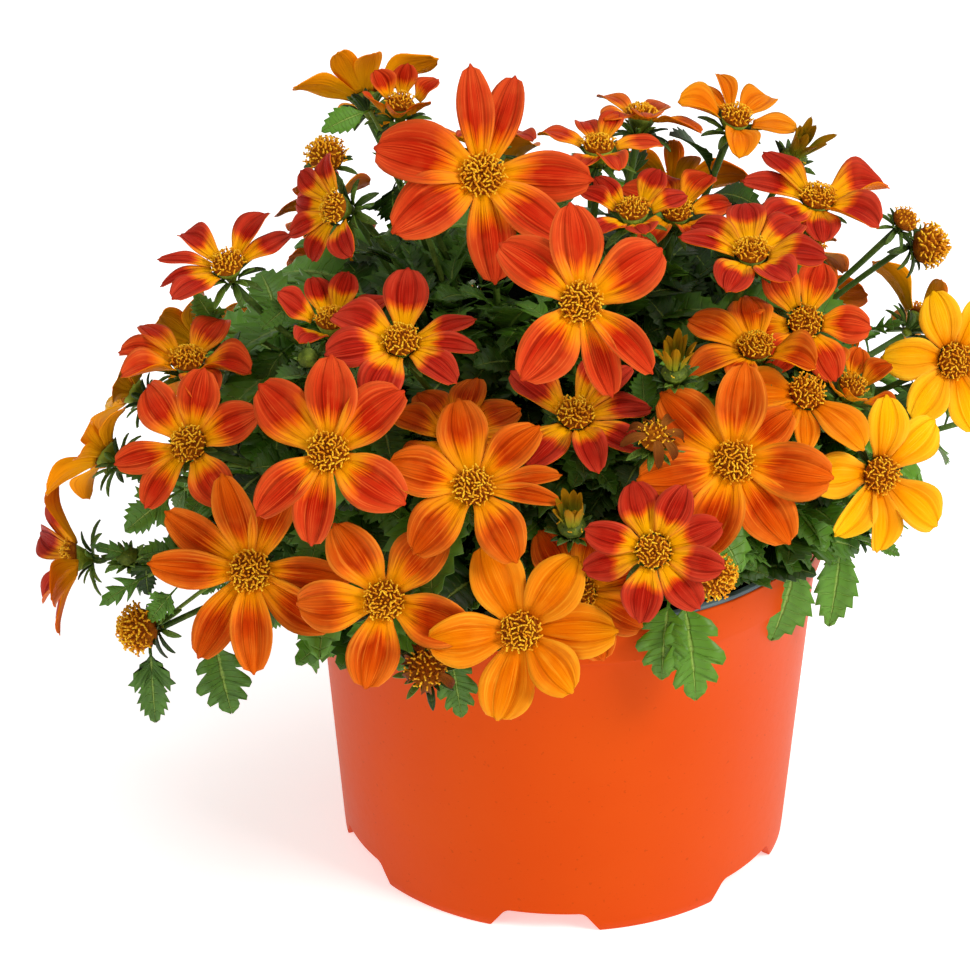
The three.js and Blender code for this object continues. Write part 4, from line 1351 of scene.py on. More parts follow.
@dataclass
class Pot:
    """The pot: an orange shell with a grey lining that shows as a line round the rim."""

    foot: float = 56.5
    slope: float = (POT_RIM - 0.8 - 56.5) / POT_HEIGHT
    skin: float = 0.75
    wall: float = 1.5
    band_foot: float = 81.2
    underside: float = 5.8
    segments: int = 160
    notches: int = 6
    notch_turn: float = -5.5
    notch_middle: float = 1.9
    drain_ring: float = 38.0
    drain_radius: float = 4.0

    def radius(self, height: float) -> float:
        """Returns the wall's outer radius at a height."""
        return self.foot + self.slope * height

    def shell_profile(self) -> list[tuple[float, float]]:
        """Returns the shell's radii and heights, from under the base, round the rim and back inside."""
        base = self.underside
        inner = self.radius(base) - self.skin
        return [
            (1.5, base), (self.radius(base) - 2.6, base), (self.foot - 2.5, 0.4), (self.foot - 2.0, 0.0),
            (self.foot - 0.3, 0.0), (self.foot, 0.4), (self.radius(2.5), 2.5), (self.radius(30), 30.0),
            (self.radius(60), 60.0), (self.radius(self.band_foot - 0.5), self.band_foot - 0.5),
            (self.radius(self.band_foot) + 0.12, self.band_foot), (64.75, self.band_foot + 0.75),
            (64.85, self.band_foot + 1.2), (65.0, 91.5), (64.92, 92.0), (64.7, POT_HEIGHT),
            (64.45, POT_HEIGHT), (64.3, 91.9), (63.75, 90.0), (self.radius(80) - self.skin, 80.0),
            (inner, base + 0.9), (1.5, base + 0.7),
        ]

    def lining_profile(self) -> list[tuple[float, float]]:
        """Returns the lining's radii and heights."""
        floor = self.underside + self.wall
        inner = self.radius(floor) - self.wall
        outer = self.radius(floor) - self.skin - 0.02
        return [
            (1.5, floor - 0.7), (outer, floor - 0.5),
            (self.radius(80) - self.skin - 0.02, 80.0), (63.5, 90.2),
            (64.22, 92.0), (64.5, POT_HEIGHT + 0.1), (64.62, POT_HEIGHT + 0.55), (64.4, POT_HEIGHT + 1.0),
            (63.9, POT_HEIGHT + 1.15), (63.0, POT_HEIGHT + 1.1), (62.6, POT_HEIGHT + 0.7), (62.5, 91.6),
            (self.radius(89) - self.wall - 0.1, 88.8), (self.radius(60) - self.wall, 60.0), (inner, floor),
            (1.5, floor),
        ]

    def notch(self, turn: float) -> bpy.types.Object:
        """Makes the rounded wedge that cuts a notch in the foot, at a heading."""
        place = (*(heading(turn) * self.foot)[:2], self.notch_middle)
        bench = Bench("notch")
        bpy.ops.mesh.primitive_cube_add(size=2, location=place)
        bench.open()
        bpy.ops.transform.resize(value=(15.0, 9.0, 3.6), center_override=place)
        bench.pick(lambda corner: corner.z > 0)
        bpy.ops.transform.resize(value=(0.66, 1, 1), center_override=place)
        bpy.ops.mesh.select_all(action="SELECT")
        bpy.ops.transform.rotate(value=-math.radians(turn), orient_axis="Z", center_override=place)
        bench.pick(lambda corner: corner.z > 0)
        bpy.ops.mesh.bevel(offset=1.2, segments=3, affect="EDGES")
        bpy.ops.object.mode_set(mode="OBJECT")
        return bench.item

    def drain(self, turn: float) -> bpy.types.Object:
        """Makes the drill that cuts a drain hole in the base, at a heading."""
        place = (*(heading(turn) * self.drain_ring)[:2], self.underside)
        bench = Bench("drain")
        bpy.ops.mesh.primitive_cylinder_add(vertices=28, radius=self.drain_radius, depth=8, location=place)
        bench.open()
        bpy.ops.object.mode_set(mode="OBJECT")
        return bench.item

    def cutters(self) -> bpy.types.Object:
        """Joins the wedges and drills that notch the foot and drain the base."""
        turns = [self.notch_turn + index * 360 / self.notches for index in range(self.notches)]
        parts = [make(turn) for turn in turns for make in (self.notch, self.drain)]
        select_only(*parts)
        bpy.ops.object.join()
        bpy.ops.object.transform_apply(location=True, rotation=True, scale=True)
        return parts[0]

    def build(self, palette: Palette) -> None:
        """Makes the shell and the lining."""
        cutters = self.cutters()
        for name, profile, skin, slot in (
            ("pot_shell", self.shell_profile(), POT_SKIN, "pot_plastic"),
            ("pot_inner_layer", self.lining_profile(), LINING_SKIN, "pot_lining"),
        ):
            bench = Bench(name).turn(profile, self.segments)
            bench.close()
            bench.modify("BOOLEAN", operation="DIFFERENCE", solver="EXACT", object=cutters)
            piece = finished(bench, palette.of(skin), 32.0)
            show(piece, slot, "pot")
        bpy.data.objects.remove(cutters)


def finished(bench: Bench, finishes: Sequence[bpy.types.Material], smooth_angle: float) -> bpy.types.Object:
    """Brings a modelled piece from millimetres to metres and dresses it.

    Args:
        bench: the bench it lies on.
        finishes: its materials.
        smooth_angle: edges sharper than this many degrees stay sharp.

    Returns:
        The piece.
    """
    piece = bench.item
    select_only(piece)
    piece.scale = (MM, MM, MM)
    bpy.ops.object.transform_apply(location=True, rotation=True, scale=True)
    bpy.ops.object.shade_smooth_by_angle(angle=math.radians(smooth_angle))
    piece.data.materials.clear()
    for finish in finishes:
        piece.data.materials.append(finish)
    return piece


def ruffled(bench: Bench, size: float, strength: float, depth: int = 2) -> None:
    """Roughens what is on the bench with a cloud pattern.

    Args:
        bench: the bench, out of edit mode, in millimetres.
        size: the lumps' size.
        strength: how far they stand out.
        depth: how many finer layers they carry.
    """
    clouds = bpy.data.textures.new("lumps", "CLOUDS")
    clouds.noise_scale = size
    clouds.noise_depth = depth
    bench.modify("DISPLACE", texture=clouds, strength=strength, mid_level=0.5, texture_coords="LOCAL")
    bpy.data.textures.remove(clouds)


@dataclass
class Soil:
    """The root ball, with a crumbly top."""

    crumbs: int = 420

    def build(self, palette: Palette, masters: Masters, pot: Pot) -> None:
        """Makes the root ball and strews crumbs over its top."""
        bottom = pot.underside + pot.wall + 0.3
        rim = pot.radius(SOIL_TOP) - pot.wall - 1.4
        profile = [(2.0, bottom), (pot.radius(bottom) - pot.wall - 0.6, bottom), (rim, SOIL_TOP - 0.8)]
        profile += [(rim * share, SOIL_TOP) for share in np.linspace(0.97, 0.03, 24)]
        bench = Bench("soil_ball").turn(profile, 96)
        bench.close()
        ruffled(bench, 5.0, 1.6)
        ruffled(bench, 1.6, 0.7)
        show(finished(bench, palette.of(SOIL_SKIN), 40.0), "soil", "soil")
        draw = Draw(977)
        cluster = Cluster()
        for index in range(self.crumbs):
            radius = (rim - 3) * math.sqrt((index + 0.5) / self.crumbs)
            angle = index * GOLDEN_ANGLE
            place = vec(radius * math.cos(angle), radius * math.sin(angle), SOIL_TOP + 0.5 + 0.5 * draw())
            first = unit(vec(draw() - 0.5, draw() - 0.5, draw() - 0.5))
            second, third = plane_of(first, (0.3, 0.5, 0.8))
            axes = (first, second * draw.between(0.7, 1.2), third * draw.between(0.6, 1.1))
            cluster.add(masters.crumb.framed(place, axes, draw.between(0.6, 2.2)), draw())
        show(cluster.build("soil_crumbs", palette.of(SOIL_SKIN)), "soil", "soil")


@dataclass
class Thicket:
    """The inside of the bush behind the leaves: a ruffled mass painted near black as shade."""

    share: float = 0.80
    underside: float = 101.0

    def build(self, palette: Palette, ground: Ground) -> None:
        """Makes the ruffled inner mass, painted near black as shade."""
        bench = Bench("inner_thicket")
        bpy.ops.mesh.primitive_ico_sphere_add(subdivisions=6, radius=1.0)
        bench.open()
        bench.scale(*(CORE_RADII * self.share))
        bench.move(*CORE_CENTRE)
        bpy.ops.mesh.bisect(
            plane_co=(0, 0, self.underside), plane_no=UP, use_fill=True, clear_inner=True, clear_outer=False
        )
        bench.close()
        ruffled(bench, 16.0, 14.0)
        ruffled(bench, 5.0, 6.0)
        nodes = [stem_name(region) for region in range(ground.count)]
        show(finished(bench, palette.of(THICKET_SHADE_PAINT), 180.0), "foliage", *nodes)


@dataclass
class LeafPlan:
    """One leaf: where it grows, which way it points and faces, its length, master and shade."""

    root: np.ndarray
    way: np.ndarray
    face: np.ndarray
    length: float
    style: Leaf
    tint: float
    region: int
    bend: float = 55.0
    twist: float = 0.0
    width: float = 1.0


@dataclass(frozen=True)
class SmallRule:
    """How small leaves are drawn: how far they stray, droop and face outwards, and their ranges.

    The room is how far behind a bloom's petals they stay.
    """

    tries: int
    stray: float
    droop: float
    outwards: float
    sway: float
    length: tuple[float, float]
    tint: tuple[float, float]
    bend: tuple[float, float]
    room: float


FILLER = SmallRule(7, 1.7, 0.62, 0.7, 0.7, (13.0, 25.0), (0.15, 0.95), (20.0, 75.0), 1.2)
ON_STALK = SmallRule(6, 2.2, 0.45, 0.5, 0.6, (11.0, 20.0), (0.1, 0.85), (20.0, 70.0), 1.0)


@dataclass(frozen=True)
class PhotoLeaf:
    """A leaf of its own in the photograph: its root's and tip's pixels with their depths, and its shape."""

    root: tuple[float, float, float]
    tip: tuple[float, float, float]
    width: float
    style: Leaf
    tint: float
    face_turn: float = 0.0
    bend: float = 30.0


PHOTO_LEAVES = (
    PhotoLeaf((670, 598, -63), (662, 678, -69), 0.95, Leaf.ROUNDED, 0.9, -15),
    PhotoLeaf((684, 596, -62), (696, 698, -69), 0.88, Leaf.ROUNDED, 1.0, 10),
    PhotoLeaf((800, 545, -33), (771, 640, -38), 0.95, Leaf.SERRATE, 0.75, 25),
    PhotoLeaf((843, 525, -24), (829, 626, -30), 0.72, Leaf.SERRATE, 0.85, 10),
    PhotoLeaf((868, 540, -14), (900, 556, -16), 0.75, Leaf.SERRATE, 0.6, 30, 45),
    PhotoLeaf((886, 505, -10), (915, 520, -12), 0.70, Leaf.LOBED, 0.5, 40),
    PhotoLeaf((150, 628, -50), (156, 722, -54), 0.62, Leaf.TERNATE, 0.45, 0),
    PhotoLeaf((216, 640, -52), (232, 712, -58), 1.1, Leaf.ROUNDED, 0.55, -10),
    PhotoLeaf((450, 645, -68), (462, 716, -72), 0.8, Leaf.ROUNDED, 0.55, 0),
    PhotoLeaf((186, 488, -40), (126, 532, -46), 1.0, Leaf.TERNATE, 0.6, -30),
    PhotoLeaf((182, 470, -30), (118, 470, -36), 0.8, Leaf.TERNATE, 0.4, -20),
    PhotoLeaf((150, 560, -44), (90, 545, -48), 0.7, Leaf.LOBED, 0.4, -10),
    PhotoLeaf((150, 575, -46), (100, 606, -50), 1.0, Leaf.LOBED, 0.65, -25),
    PhotoLeaf((180, 585, -48), (150, 622, -52), 1.0, Leaf.TERNATE, 0.8, -15),
    PhotoLeaf((205, 560, -42), (165, 580, -50), 0.9, Leaf.SERRATE, 0.55, -15),
    PhotoLeaf((222, 330, -10), (196, 292, -14), 0.9, Leaf.TERNATE, 0.5, -20),
    PhotoLeaf((235, 355, -14), (205, 345, -20), 0.9, Leaf.LOBED, 0.45, -25),
    PhotoLeaf((300, 300, -20), (262, 330, -30), 0.9, Leaf.TERNATE, 0.6, -20),
    PhotoLeaf((590, 160, 20), (636, 158, 14), 1.1, Leaf.SERRATE, 1.0, 10),
    PhotoLeaf((372, 110, 6), (322, 132, 0), 0.9, Leaf.SERRATE, 0.8, -20),
    PhotoLeaf((870, 330, 4), (905, 322, 0), 0.9, Leaf.LOBED, 0.5, 20),
    PhotoLeaf((868, 360, 0), (902, 372, -6), 0.9, Leaf.TERNATE, 0.55, 20),
)


@dataclass
class Foliage:
    """Every leaf of the bush, kept clear of blooms and pot."""

    ground: Ground
    studio: "Studio"
    stations: tuple = ((0.32, 0.58, 0.42), (0.42, 0.44, 0.08), (0.64, 0.74, 0.32), (0.74, 0.76, 0.19))
    hollow: float = 0.3
    shortest: float = 27.0
    longest: float = 40.0
    big_count: int = 180
    big_tries: int = 16
    big_gap: float = 3.4
    big_depth: float = 2.4
    small_count: int = 1150
    small_depths: tuple[float, float] = (-3.0, 13.0)
    # How much darker a small leaf is painted for each millimetre deep in the bush: painted shade.
    depth_painted_shade: float = 0.035
    small_room: float = 0.3
    stalk_places: range = range(6, 13)
    right_fringe: tuple = (
        (44, -20.7), (50, -23), (56, -22), (62, -19), (66, -17), (80, -13), (95, -3), (110, 8)
    )
    petioles: list[tuple[np.ndarray, int]] = field(default_factory=list)
    plans: list[LeafPlan] = field(default_factory=list)

    def __post_init__(self) -> None:
        """Gathers the blooms' places for the clearance tests."""
        self.centres = np.array([bloom.centre for bloom in BLOOMS])
        self.axes = np.array([bloom.axis for bloom in BLOOMS])
        self.reaches = np.array([bloom.reach for bloom in BLOOMS])
        self.lifts = np.radians([bloom.lift - PETAL_LAYER for bloom in BLOOMS])
        self.curls = np.radians([bloom.curl for bloom in BLOOMS])

    def rib(self, plan: LeafPlan, share: np.ndarray) -> tuple[np.ndarray, np.ndarray]:
        """Returns the points at some shares of a leaf's midrib, and the leaf's normals there."""
        return arc(plan.root, plan.way, plan.face, plan.length, math.radians(plan.bend), share)

    def samples(self, plan: LeafPlan) -> np.ndarray:
        """Returns points spread over a leaf."""
        side = unit(np.cross(plan.way, plan.face))
        ribs, edges, shares = (np.array(column) for column in zip(*self.stations))
        widths = shares[:, None] * plan.length
        middle, _ = self.rib(plan, ribs)
        at, normal = self.rib(plan, edges)
        left = at - side * widths + normal * self.hollow * widths
        right = at + side * widths + normal * self.hollow * widths
        tip, _ = self.rib(plan, np.array([1.0]))
        return np.concatenate([tip, left, middle, right, (left + middle) / 2, (right + middle) / 2])

    def clear_of_blooms(self, points: np.ndarray, behind: float, beside: float) -> bool:
        """Tells whether points lie beside every bloom or well behind its petals."""
        offset = points[:, None] - self.centres[None]
        height = np.einsum("pbk,bk->pb", offset, self.axes)
        away = np.linalg.norm(offset - height[..., None] * self.axes[None], axis=2)
        share = np.clip((away - DISC_ROOT) / (self.reaches - DISC_ROOT), 0, 1)
        length = self.reaches - DISC_ROOT
        slope = self.lifts - self.curls * share
        back = length * (np.cos(slope) - np.cos(self.lifts)) / self.curls - behind
        return bool(np.all((away > self.reaches + beside) | (height < back) | (height > 40)))

    def clear_of_pot(self, points: np.ndarray) -> bool:
        """Tells whether points lie above or outside the pot's rim."""
        radii = np.hypot(points[:, 0], points[:, 1])
        return bool(np.all((points[:, 2] > POT_HEIGHT + 1.5) | (radii > POT_RIM + 1.5)))

    def clear_of_rim(self, points: np.ndarray) -> bool:
        """Tells whether points leave the pot's front rim and the room below it in sight."""
        fall = math.radians(self.studio.pitch)
        height = (points[:, 2] - POT_HEIGHT) * math.cos(fall) + points[:, 1] * math.sin(fall)
        across = np.clip(points[:, 0], -POT_RIM, POT_RIM)
        rim = -np.sqrt(POT_RIM**2 - across**2) * math.sin(fall)
        beside = np.interp(points[:, 0], *zip(*self.right_fringe))
        limit = np.where(points[:, 0] < self.right_fringe[0][0], rim + 2.0, beside)
        over = (points[:, 1] < 5) & (points[:, 0] > -30)
        return bool(np.all((height > limit) | ~over))

    def grow_photo(self) -> None:
        """Places the leaves that the photograph shows on their own, each on a stalk from the bush."""
        for leaf in PHOTO_LEAVES:
            root = self.studio.spot(*leaf.root)
            tip = self.studio.spot(*leaf.tip)
            bend = math.radians(leaf.bend)
            length = float(np.linalg.norm(tip - root)) * bend / (2 * math.sin(bend / 2))
            chord = unit(tip - root)
            face = square_to(chord, heading(leaf.face_turn) + UP * 0.75)
            way = chord * math.cos(bend / 2) + face * math.sin(bend / 2)
            face = face * math.cos(bend / 2) - chord * math.sin(bend / 2)
            region = self.ground.of(root)
            shape = (length, leaf.style, leaf.tint, region, leaf.bend, 0.0, leaf.width)
            self.plans.append(LeafPlan(root, way, face, *shape))
            foot = same_turn(core_foot(root), root)
            middle = (root + foot) / 2 + UP * 4
            self.petioles.append((smooth_path([foot, middle, root + way * 0.5], 8), region))

    def grow_on_stalks(self) -> None:
        """Sets small leaves along the stalks, outside the dense middle."""
        tops = [(bloom.cup_base, bloom.axis) for bloom in BLOOMS]
        bare = (HeadKind.SEED, HeadKind.TIGHT)
        tops += [(head.base, head.axis) for head in HEADS if head.kind not in bare]
        for index, (base, axis) in enumerate(tops):
            draw = Draw(33301 + 71 * index)
            path = stalk_path(base, axis, self.ground)
            region = self.ground.of(base)
            for place in self.stalk_places:
                out = unit((path[place] - CORE_CENTRE) / CORE_RADII)
                along = unit(path[place] - path[place - 1])
                self.add_small(draw, ON_STALK, out, out * 0.5 + along * 0.4, path[place], region)

    def add_small(
        self,
        draw: Draw,
        rule: SmallRule,
        out: np.ndarray,
        aim: np.ndarray,
        root: np.ndarray,
        region: int,
        light: float = 1.0,
    ) -> None:
        """Adds a small leaf, the first of its draws that is clear.

        Args:
            draw: the leaf's own draws.
            rule: how it is drawn.
            out: the way out of the bush there.
            aim: the way that it strays from.
            root: where it grows.
            region: the ground it belongs to.
            light: the share of its tint that it keeps; below one on leaves deep in the bush, as painted
                shade.
        """
        for _ in range(rule.tries):
            way = unit(aim + vec(draw() - 0.5, draw() - 0.5, draw() - rule.droop) * rule.stray)
            face = UP * 0.9 + out * rule.outwards + vec(draw() - 0.5, draw() - 0.5, 0) * rule.sway
            length = draw.between(*rule.length)
            style = SMALL_LEAVES[int(draw() * 2.999)]
            tint = draw.between(*rule.tint) * light
            bend = draw.between(*rule.bend)
            twist = draw.between(-0.5, 0.5)
            plan = LeafPlan(root, way, square_to(way, face), length, style, tint, region, bend, twist)
            if self.clear(self.samples(plan), rule.room, self.small_room):
                self.plans.append(plan)
                return

    def clear(self, points: np.ndarray, behind: float = 2.4, beside: float = 1.5) -> bool:
        """Tells whether a leaf's points are clear of pot, rim and blooms."""
        return (
            self.clear_of_pot(points) and self.clear_of_rim(points)
            and self.clear_of_blooms(points, behind, beside)
        )

    def grow_big(self) -> None:
        """Spreads the big leaves evenly, each taking the first of its draws that is clear."""
        taken = self.stalk_samples()
        for index in range(self.big_count):
            draw = Draw(101 + 37 * index)
            rise = 0.14 + 0.85 * (index + 0.5) / self.big_count
            out, root = self.seat(rise, index * GOLDEN_ANGLE, self.big_depth)
            region = self.ground.of(root)
            for _ in range(self.big_tries):
                plan = self.drawn(draw, out, root, region, index % 3 == 2)
                points = self.samples(plan)
                if self.ground.depth(region, root[None])[0] <= self.big_depth or not self.fits(plan, points):
                    continue
                if np.min(np.linalg.norm(points[:, None] - taken[None], axis=2)) < self.big_gap:
                    continue
                self.plans.append(plan)
                taken = np.concatenate([taken, points])
                break

    def seat(self, rise: float, angle: float, depth: float) -> tuple[np.ndarray, np.ndarray]:
        """Returns the outward direction and the root of a leaf on the bush's dense middle."""
        level = math.sqrt(1 - rise * rise)
        out = vec(level * math.cos(angle), level * math.sin(angle), rise)
        return out, CORE_CENTRE + CORE_RADII * out - out * depth

    def drawn(self, draw: Draw, out: np.ndarray, root: np.ndarray, region: int, plain: bool) -> LeafPlan:
        """Draws a big leaf's direction and length.

        Args:
            draw: the leaf's own draws.
            out: the way out of the bush there.
            root: where it grows.
            region: the ground it belongs to.
            plain: whether it is a single serrate blade.

        Returns:
            The leaf.
        """
        lean = 0.4 + 0.5 * draw()
        turn = math.radians((draw() - 0.5) * 110) - math.pi / 2
        sideways = unit(np.cross(out, UP))
        upwards = np.cross(sideways, out)
        way = unit(out + sideways * lean * math.cos(turn) + upwards * lean * math.sin(turn))
        face = square_to(way, UP * 0.7 + out * 0.9)
        length = self.shortest + (self.longest - self.shortest) * draw()
        style = Leaf.SERRATE if plain else Leaf.TERNATE
        return LeafPlan(root, way, face, length, style, 0.45 + 0.5 * draw(), region)

    def fits(self, plan: LeafPlan, points: np.ndarray) -> bool:
        """Tells whether a big leaf stays on its own ground and clear of blooms and pot."""
        inside = np.all(self.ground.depth(plan.region, points) > REGION_CLEARANCE)
        return bool(inside) and self.clear(points)

    def stalk_samples(self) -> np.ndarray:
        """Returns points along every stalk, which the big leaves keep clear of."""
        tops = [bloom.cup_base for bloom in BLOOMS] + [head.centre for head in HEADS]
        shares = np.array([0.2, 0.4, 0.6, 0.8, 1.0, 1.2])[:, None]
        found = []
        for top in tops:
            foot = same_turn(core_foot(top), top)
            found.append(foot + (top - foot) * shares)
        return np.concatenate(found)

    def grow_small(self) -> None:
        """Fills the bush with smaller leaves in several depths, painted darker the deeper they sit, as shade.
        """
        for index in range(self.small_count):
            draw = Draw(40961 + 53 * index)
            rise = -0.02 + 1.0 * (index + 0.5) / self.small_count
            depth = draw.between(*self.small_depths)
            out, root = self.seat(min(rise, 0.995), index * GOLDEN_ANGLE * 1.37, depth)
            # Leaves deeper in the bush get a darker tint: painted shade.
            light = 1.0 - self.depth_painted_shade * max(0.0, depth)
            self.add_small(draw, FILLER, out, out, root, self.ground.of(root), light)

    def blade(self, plan: LeafPlan, master: Pattern) -> Pattern:
        """Bends a master leaf into place.

        Args:
            plan: the leaf.
            master: its flat pattern, of length one.

        Returns:
            The placed leaf.
        """
        side = unit(np.cross(plan.way, plan.face))
        flat = master.points
        middle, normal = self.rib(plan, flat[:, 1])
        angle = plan.twist * flat[:, 1]
        across = flat[:, 0] * np.cos(angle) - flat[:, 2] * np.sin(angle)
        above = flat[:, 0] * np.sin(angle) + flat[:, 2] * np.cos(angle)
        above = above + self.hollow * 0.6 * np.abs(flat[:, 0])
        across = across * plan.width * plan.length
        return master.moved(middle + side * across[:, None] + normal * (above * plan.length)[:, None])

    def build(self, palette: Palette, masters: Masters) -> None:
        """Makes one piece of leaves for each leafy stem."""
        self.grow_photo()
        self.grow_big()
        big = len(self.plans)
        self.grow_small()
        self.grow_on_stalks()
        LOG.info("%d big leaves, %d small ones", big, len(self.plans) - big)
        for region in range(self.ground.count):
            cluster = Cluster()
            for plan in self.plans:
                if plan.region == region:
                    cluster.add(self.blade(plan, masters.leaves[plan.style]), plan.tint)
            for path, own in self.petioles:
                if own == region:
                    cluster.add(swept(masters.tube, path, (0.75, 0.6, 0.5)).moved_to(2), 0.5)
            name = stem_name(region)
            finishes = palette.of(LEAF_TOP, LEAF_UNDER, STALK_SKIN)
            show(cluster.build(f"{name}_leaves", finishes), "foliage", name)


@dataclass
class Involucre:
    """The green cup and bracts that hold a bloom or seed head."""

    masters: Masters
    bract_count: int = 16
    shortest: float = 6.0
    longest: float = 8.2
    bend: float = 40.0
    hugging_lean: float = 52.0
    hugging_share: float = 0.8
    upright_lean: float = 78.0
    spreading: float = 95.0
    stray: float = 8.0
    root_height: float = 1.2
    root_radius: float = 1.8

    def add(
        self, cluster: Cluster, mouth: np.ndarray, axis: np.ndarray, scale: float, spread: float, draw: Draw
    ) -> None:
        """Adds a cup and its bracts, of which every other one hugs the bloom, to a cluster.

        Args:
            cluster: the cluster, whose slots are stalk, cup and bract.
            mouth: the middle of the cup's mouth.
            axis: the way it faces.
            scale: its size.
            spread: how far the bracts stand out, from 0, upright, to 1, bent back.
            draw: its draws.
        """
        first, second = plane_of(axis, (0.31, 0.52, 0.79))
        base = mouth - axis * CUP_HEIGHT * scale
        cluster.add(self.masters.cup.framed(base, (first, second, axis), scale, 1), draw.between(0.2, 0.9))
        start = draw() * 6.28
        flat = self.masters.bract.points
        for index in range(self.bract_count):
            hugging = index % 2
            angle = start + index * math.tau / self.bract_count
            way = first * math.cos(angle) + second * math.sin(angle)
            lean = self.hugging_lean if hugging else self.upright_lean - self.spreading * spread
            lean = math.radians(draw.between(-self.stray, self.stray) + lean)
            length = draw.between(self.shortest, self.longest) * scale
            length *= self.hugging_share if hugging else 1.0
            out = way * math.cos(lean) + axis * math.sin(lean)
            face = axis * math.cos(lean) - way * math.sin(lean)
            root = base + axis * self.root_height * scale + way * self.root_radius * scale
            middle, normal = arc(root, out, face, length, math.radians(self.bend), flat[:, 1])
            side = np.cross(out, face)
            points = middle + side * flat[:, :1] * length + normal * flat[:, 2:3] * length
            cluster.add(self.masters.bract.moved(points, 2), draw())


@dataclass
class Disc:
    """The middle of a bloom or seed head: florets in a spiral over a domed bed.

    The closed share is the part of its radius in which florets are still buds, and the bulge is how
    far the outer florets lean out.
    """

    masters: Masters
    count: int = 92
    dome: float = 2.2
    closed: float = 0.22
    bulge: float = 0.75
    bed_radius: float = 4.75
    sway: float = 0.22
    least_share: float = 0.12
    sunk: float = 0.3
    ragged: float = 0.2
    bud_size: float = 0.95

    def add(
        self,
        cluster: Cluster,
        centre: np.ndarray,
        axis: np.ndarray,
        radius: float,
        draw: Draw,
        slots: tuple[int, int, int],
    ) -> None:
        """Adds a disc to a cluster.

        Args:
            cluster: the cluster.
            centre: the middle of the disc's foot.
            axis: the way it faces.
            radius: its radius at the florets' tips.
            draw: its draws.
            slots: the finishes of arms, tubes and bed.
        """
        arms, tubes, bed = slots
        first, second = plane_of(axis, (0.52, 0.31, 0.79))
        scale = radius / DISC_RADIUS
        count = round(self.count * (self.least_share + (1 - self.least_share) * scale**2))
        bed_axes = (first, second, axis * self.dome / BED_HEIGHT)
        cluster.add(self.masters.bed.framed(centre, bed_axes, scale, bed), 0.2)
        start = draw() * 6.28
        for index in range(count):
            share = math.sqrt((index + 0.6) / count)
            angle = start + index * GOLDEN_ANGLE
            way = first * math.cos(angle) + second * math.sin(angle)
            stray = first * (draw() - 0.5) + second * (draw() - 0.5)
            stand = unit(axis + way * self.bulge * share**1.6 + stray * self.sway)
            height = self.dome * scale * (1 - share**2) - self.sunk
            foot = centre + way * self.bed_radius * scale * share + axis * height
            turn = draw() * 3.14
            across = unit(np.cross(stand, way + axis * 0.1))
            along = np.cross(stand, across)
            axes = (
                across * math.cos(turn) + along * math.sin(turn),
                along * math.cos(turn) - across * math.sin(turn),
                stand * draw.between(0.82, 1.12),
            )
            if share < self.closed + self.ragged * (draw() - 0.5):
                bud = self.masters.bud_floret.framed(foot, axes, self.bud_size * scale, tubes)
                cluster.add(bud, draw.between(0.3, 0.9))
                continue
            placed = self.masters.open_floret.framed(foot, axes, scale * draw.between(0.88, 1.06))
            placed.slots = np.where(placed.slots == 0, arms, tubes)
            cluster.add(placed, draw())


@dataclass
class Blooms:
    """Every open bloom, as one piece each of petals around a disc."""

    masters: Masters
    disc_least: float = 2.5
    disc_share: float = 0.105
    wave: float = 0.2
    twist: float = 0.3
    sway: float = 0.08
    droop: tuple[float, float] = (-0.10, 0.16)
    cup: tuple[float, float] = (0.08, 0.38)
    folded_share: float = 0.2
    folded_more: float = 0.5
    ripples: float = 6.5
    tucked: float = 0.13
    petal_step: float = 0.22

    def petal(self, bloom: Bloom, plan: PetalPlan, draw: Draw) -> Pattern:
        """Bends a master petal into place.

        Args:
            bloom: the bloom it belongs to.
            plan: the petal.
            draw: the bloom's draws.

        Returns:
            The placed petal.
        """
        master = self.masters.petal
        along = master.points[:, 1] / PETAL_LENGTH
        across = master.points[:, 0] / PETAL_HALF
        share = (-self.tucked + (1 + self.tucked) * along) * plan.length
        out, up, slope = bloom.path(share, PETAL_LAYER * plan.layer)
        wave = draw.between(-self.wave, self.wave)
        phase = draw() * 6.28
        twist = draw.between(-self.twist, self.twist)
        sway = draw.between(-self.sway, self.sway)
        droop = draw.between(*self.droop)
        cup = draw.between(*self.cup) + self.folded_more * (draw() < self.folded_share)
        relief = master.points[:, 2] * (plan.half / PETAL_HALF)
        edge = across**2
        above = relief + plan.half * (cup * edge + wave * edge * np.sin(phase + self.ripples * along))
        above = above - plan.half * droop * along**3 * 1.6
        lateral = across * plan.half
        angle = twist * along
        level = lateral * np.cos(angle) - above * np.sin(angle)
        above = lateral * np.sin(angle) + above * np.cos(angle)
        level = level + sway * bloom.reach * along**2
        turn = math.radians(plan.angle + draw.between(-1.5, 1.5))
        way = bloom.first * math.cos(turn) + bloom.second * math.sin(turn)
        side = np.cross(bloom.axis, way)
        outwards = (out - np.sin(slope) * above)[:, None]
        upwards = (up + np.cos(slope) * above + self.petal_step * plan.layer)[:, None]
        return master.moved(bloom.centre + way * outwards + bloom.axis * upwards + side * -level[:, None])

    def build(self, palette: Palette) -> None:
        """Makes the blooms."""
        disc = Disc(self.masters)
        for index, bloom in enumerate(BLOOMS):
            draw = Draw(7001 + 131 * index)
            cluster = Cluster()
            for plan in bloom.petal_plans():
                cluster.add(self.petal(bloom, plan, draw), draw())
            radius = self.disc_least + self.disc_share * bloom.reach
            disc.add(cluster, bloom.centre, bloom.axis, radius, draw, (2, 3, 4))
            front = OWN_FINISH.get(index + 1, PETAL_FINISH[bloom.kind])
            finishes = palette.of(front, BACK_FINISH[bloom.kind], FLORET_ARM, FLORET_TUBE, DISC_BED)
            name = f"bloom_{index + 1:02d}"
            show(cluster.build(f"{name}_petals_and_disc", finishes), f"petals_{bloom.kind.value}", name)


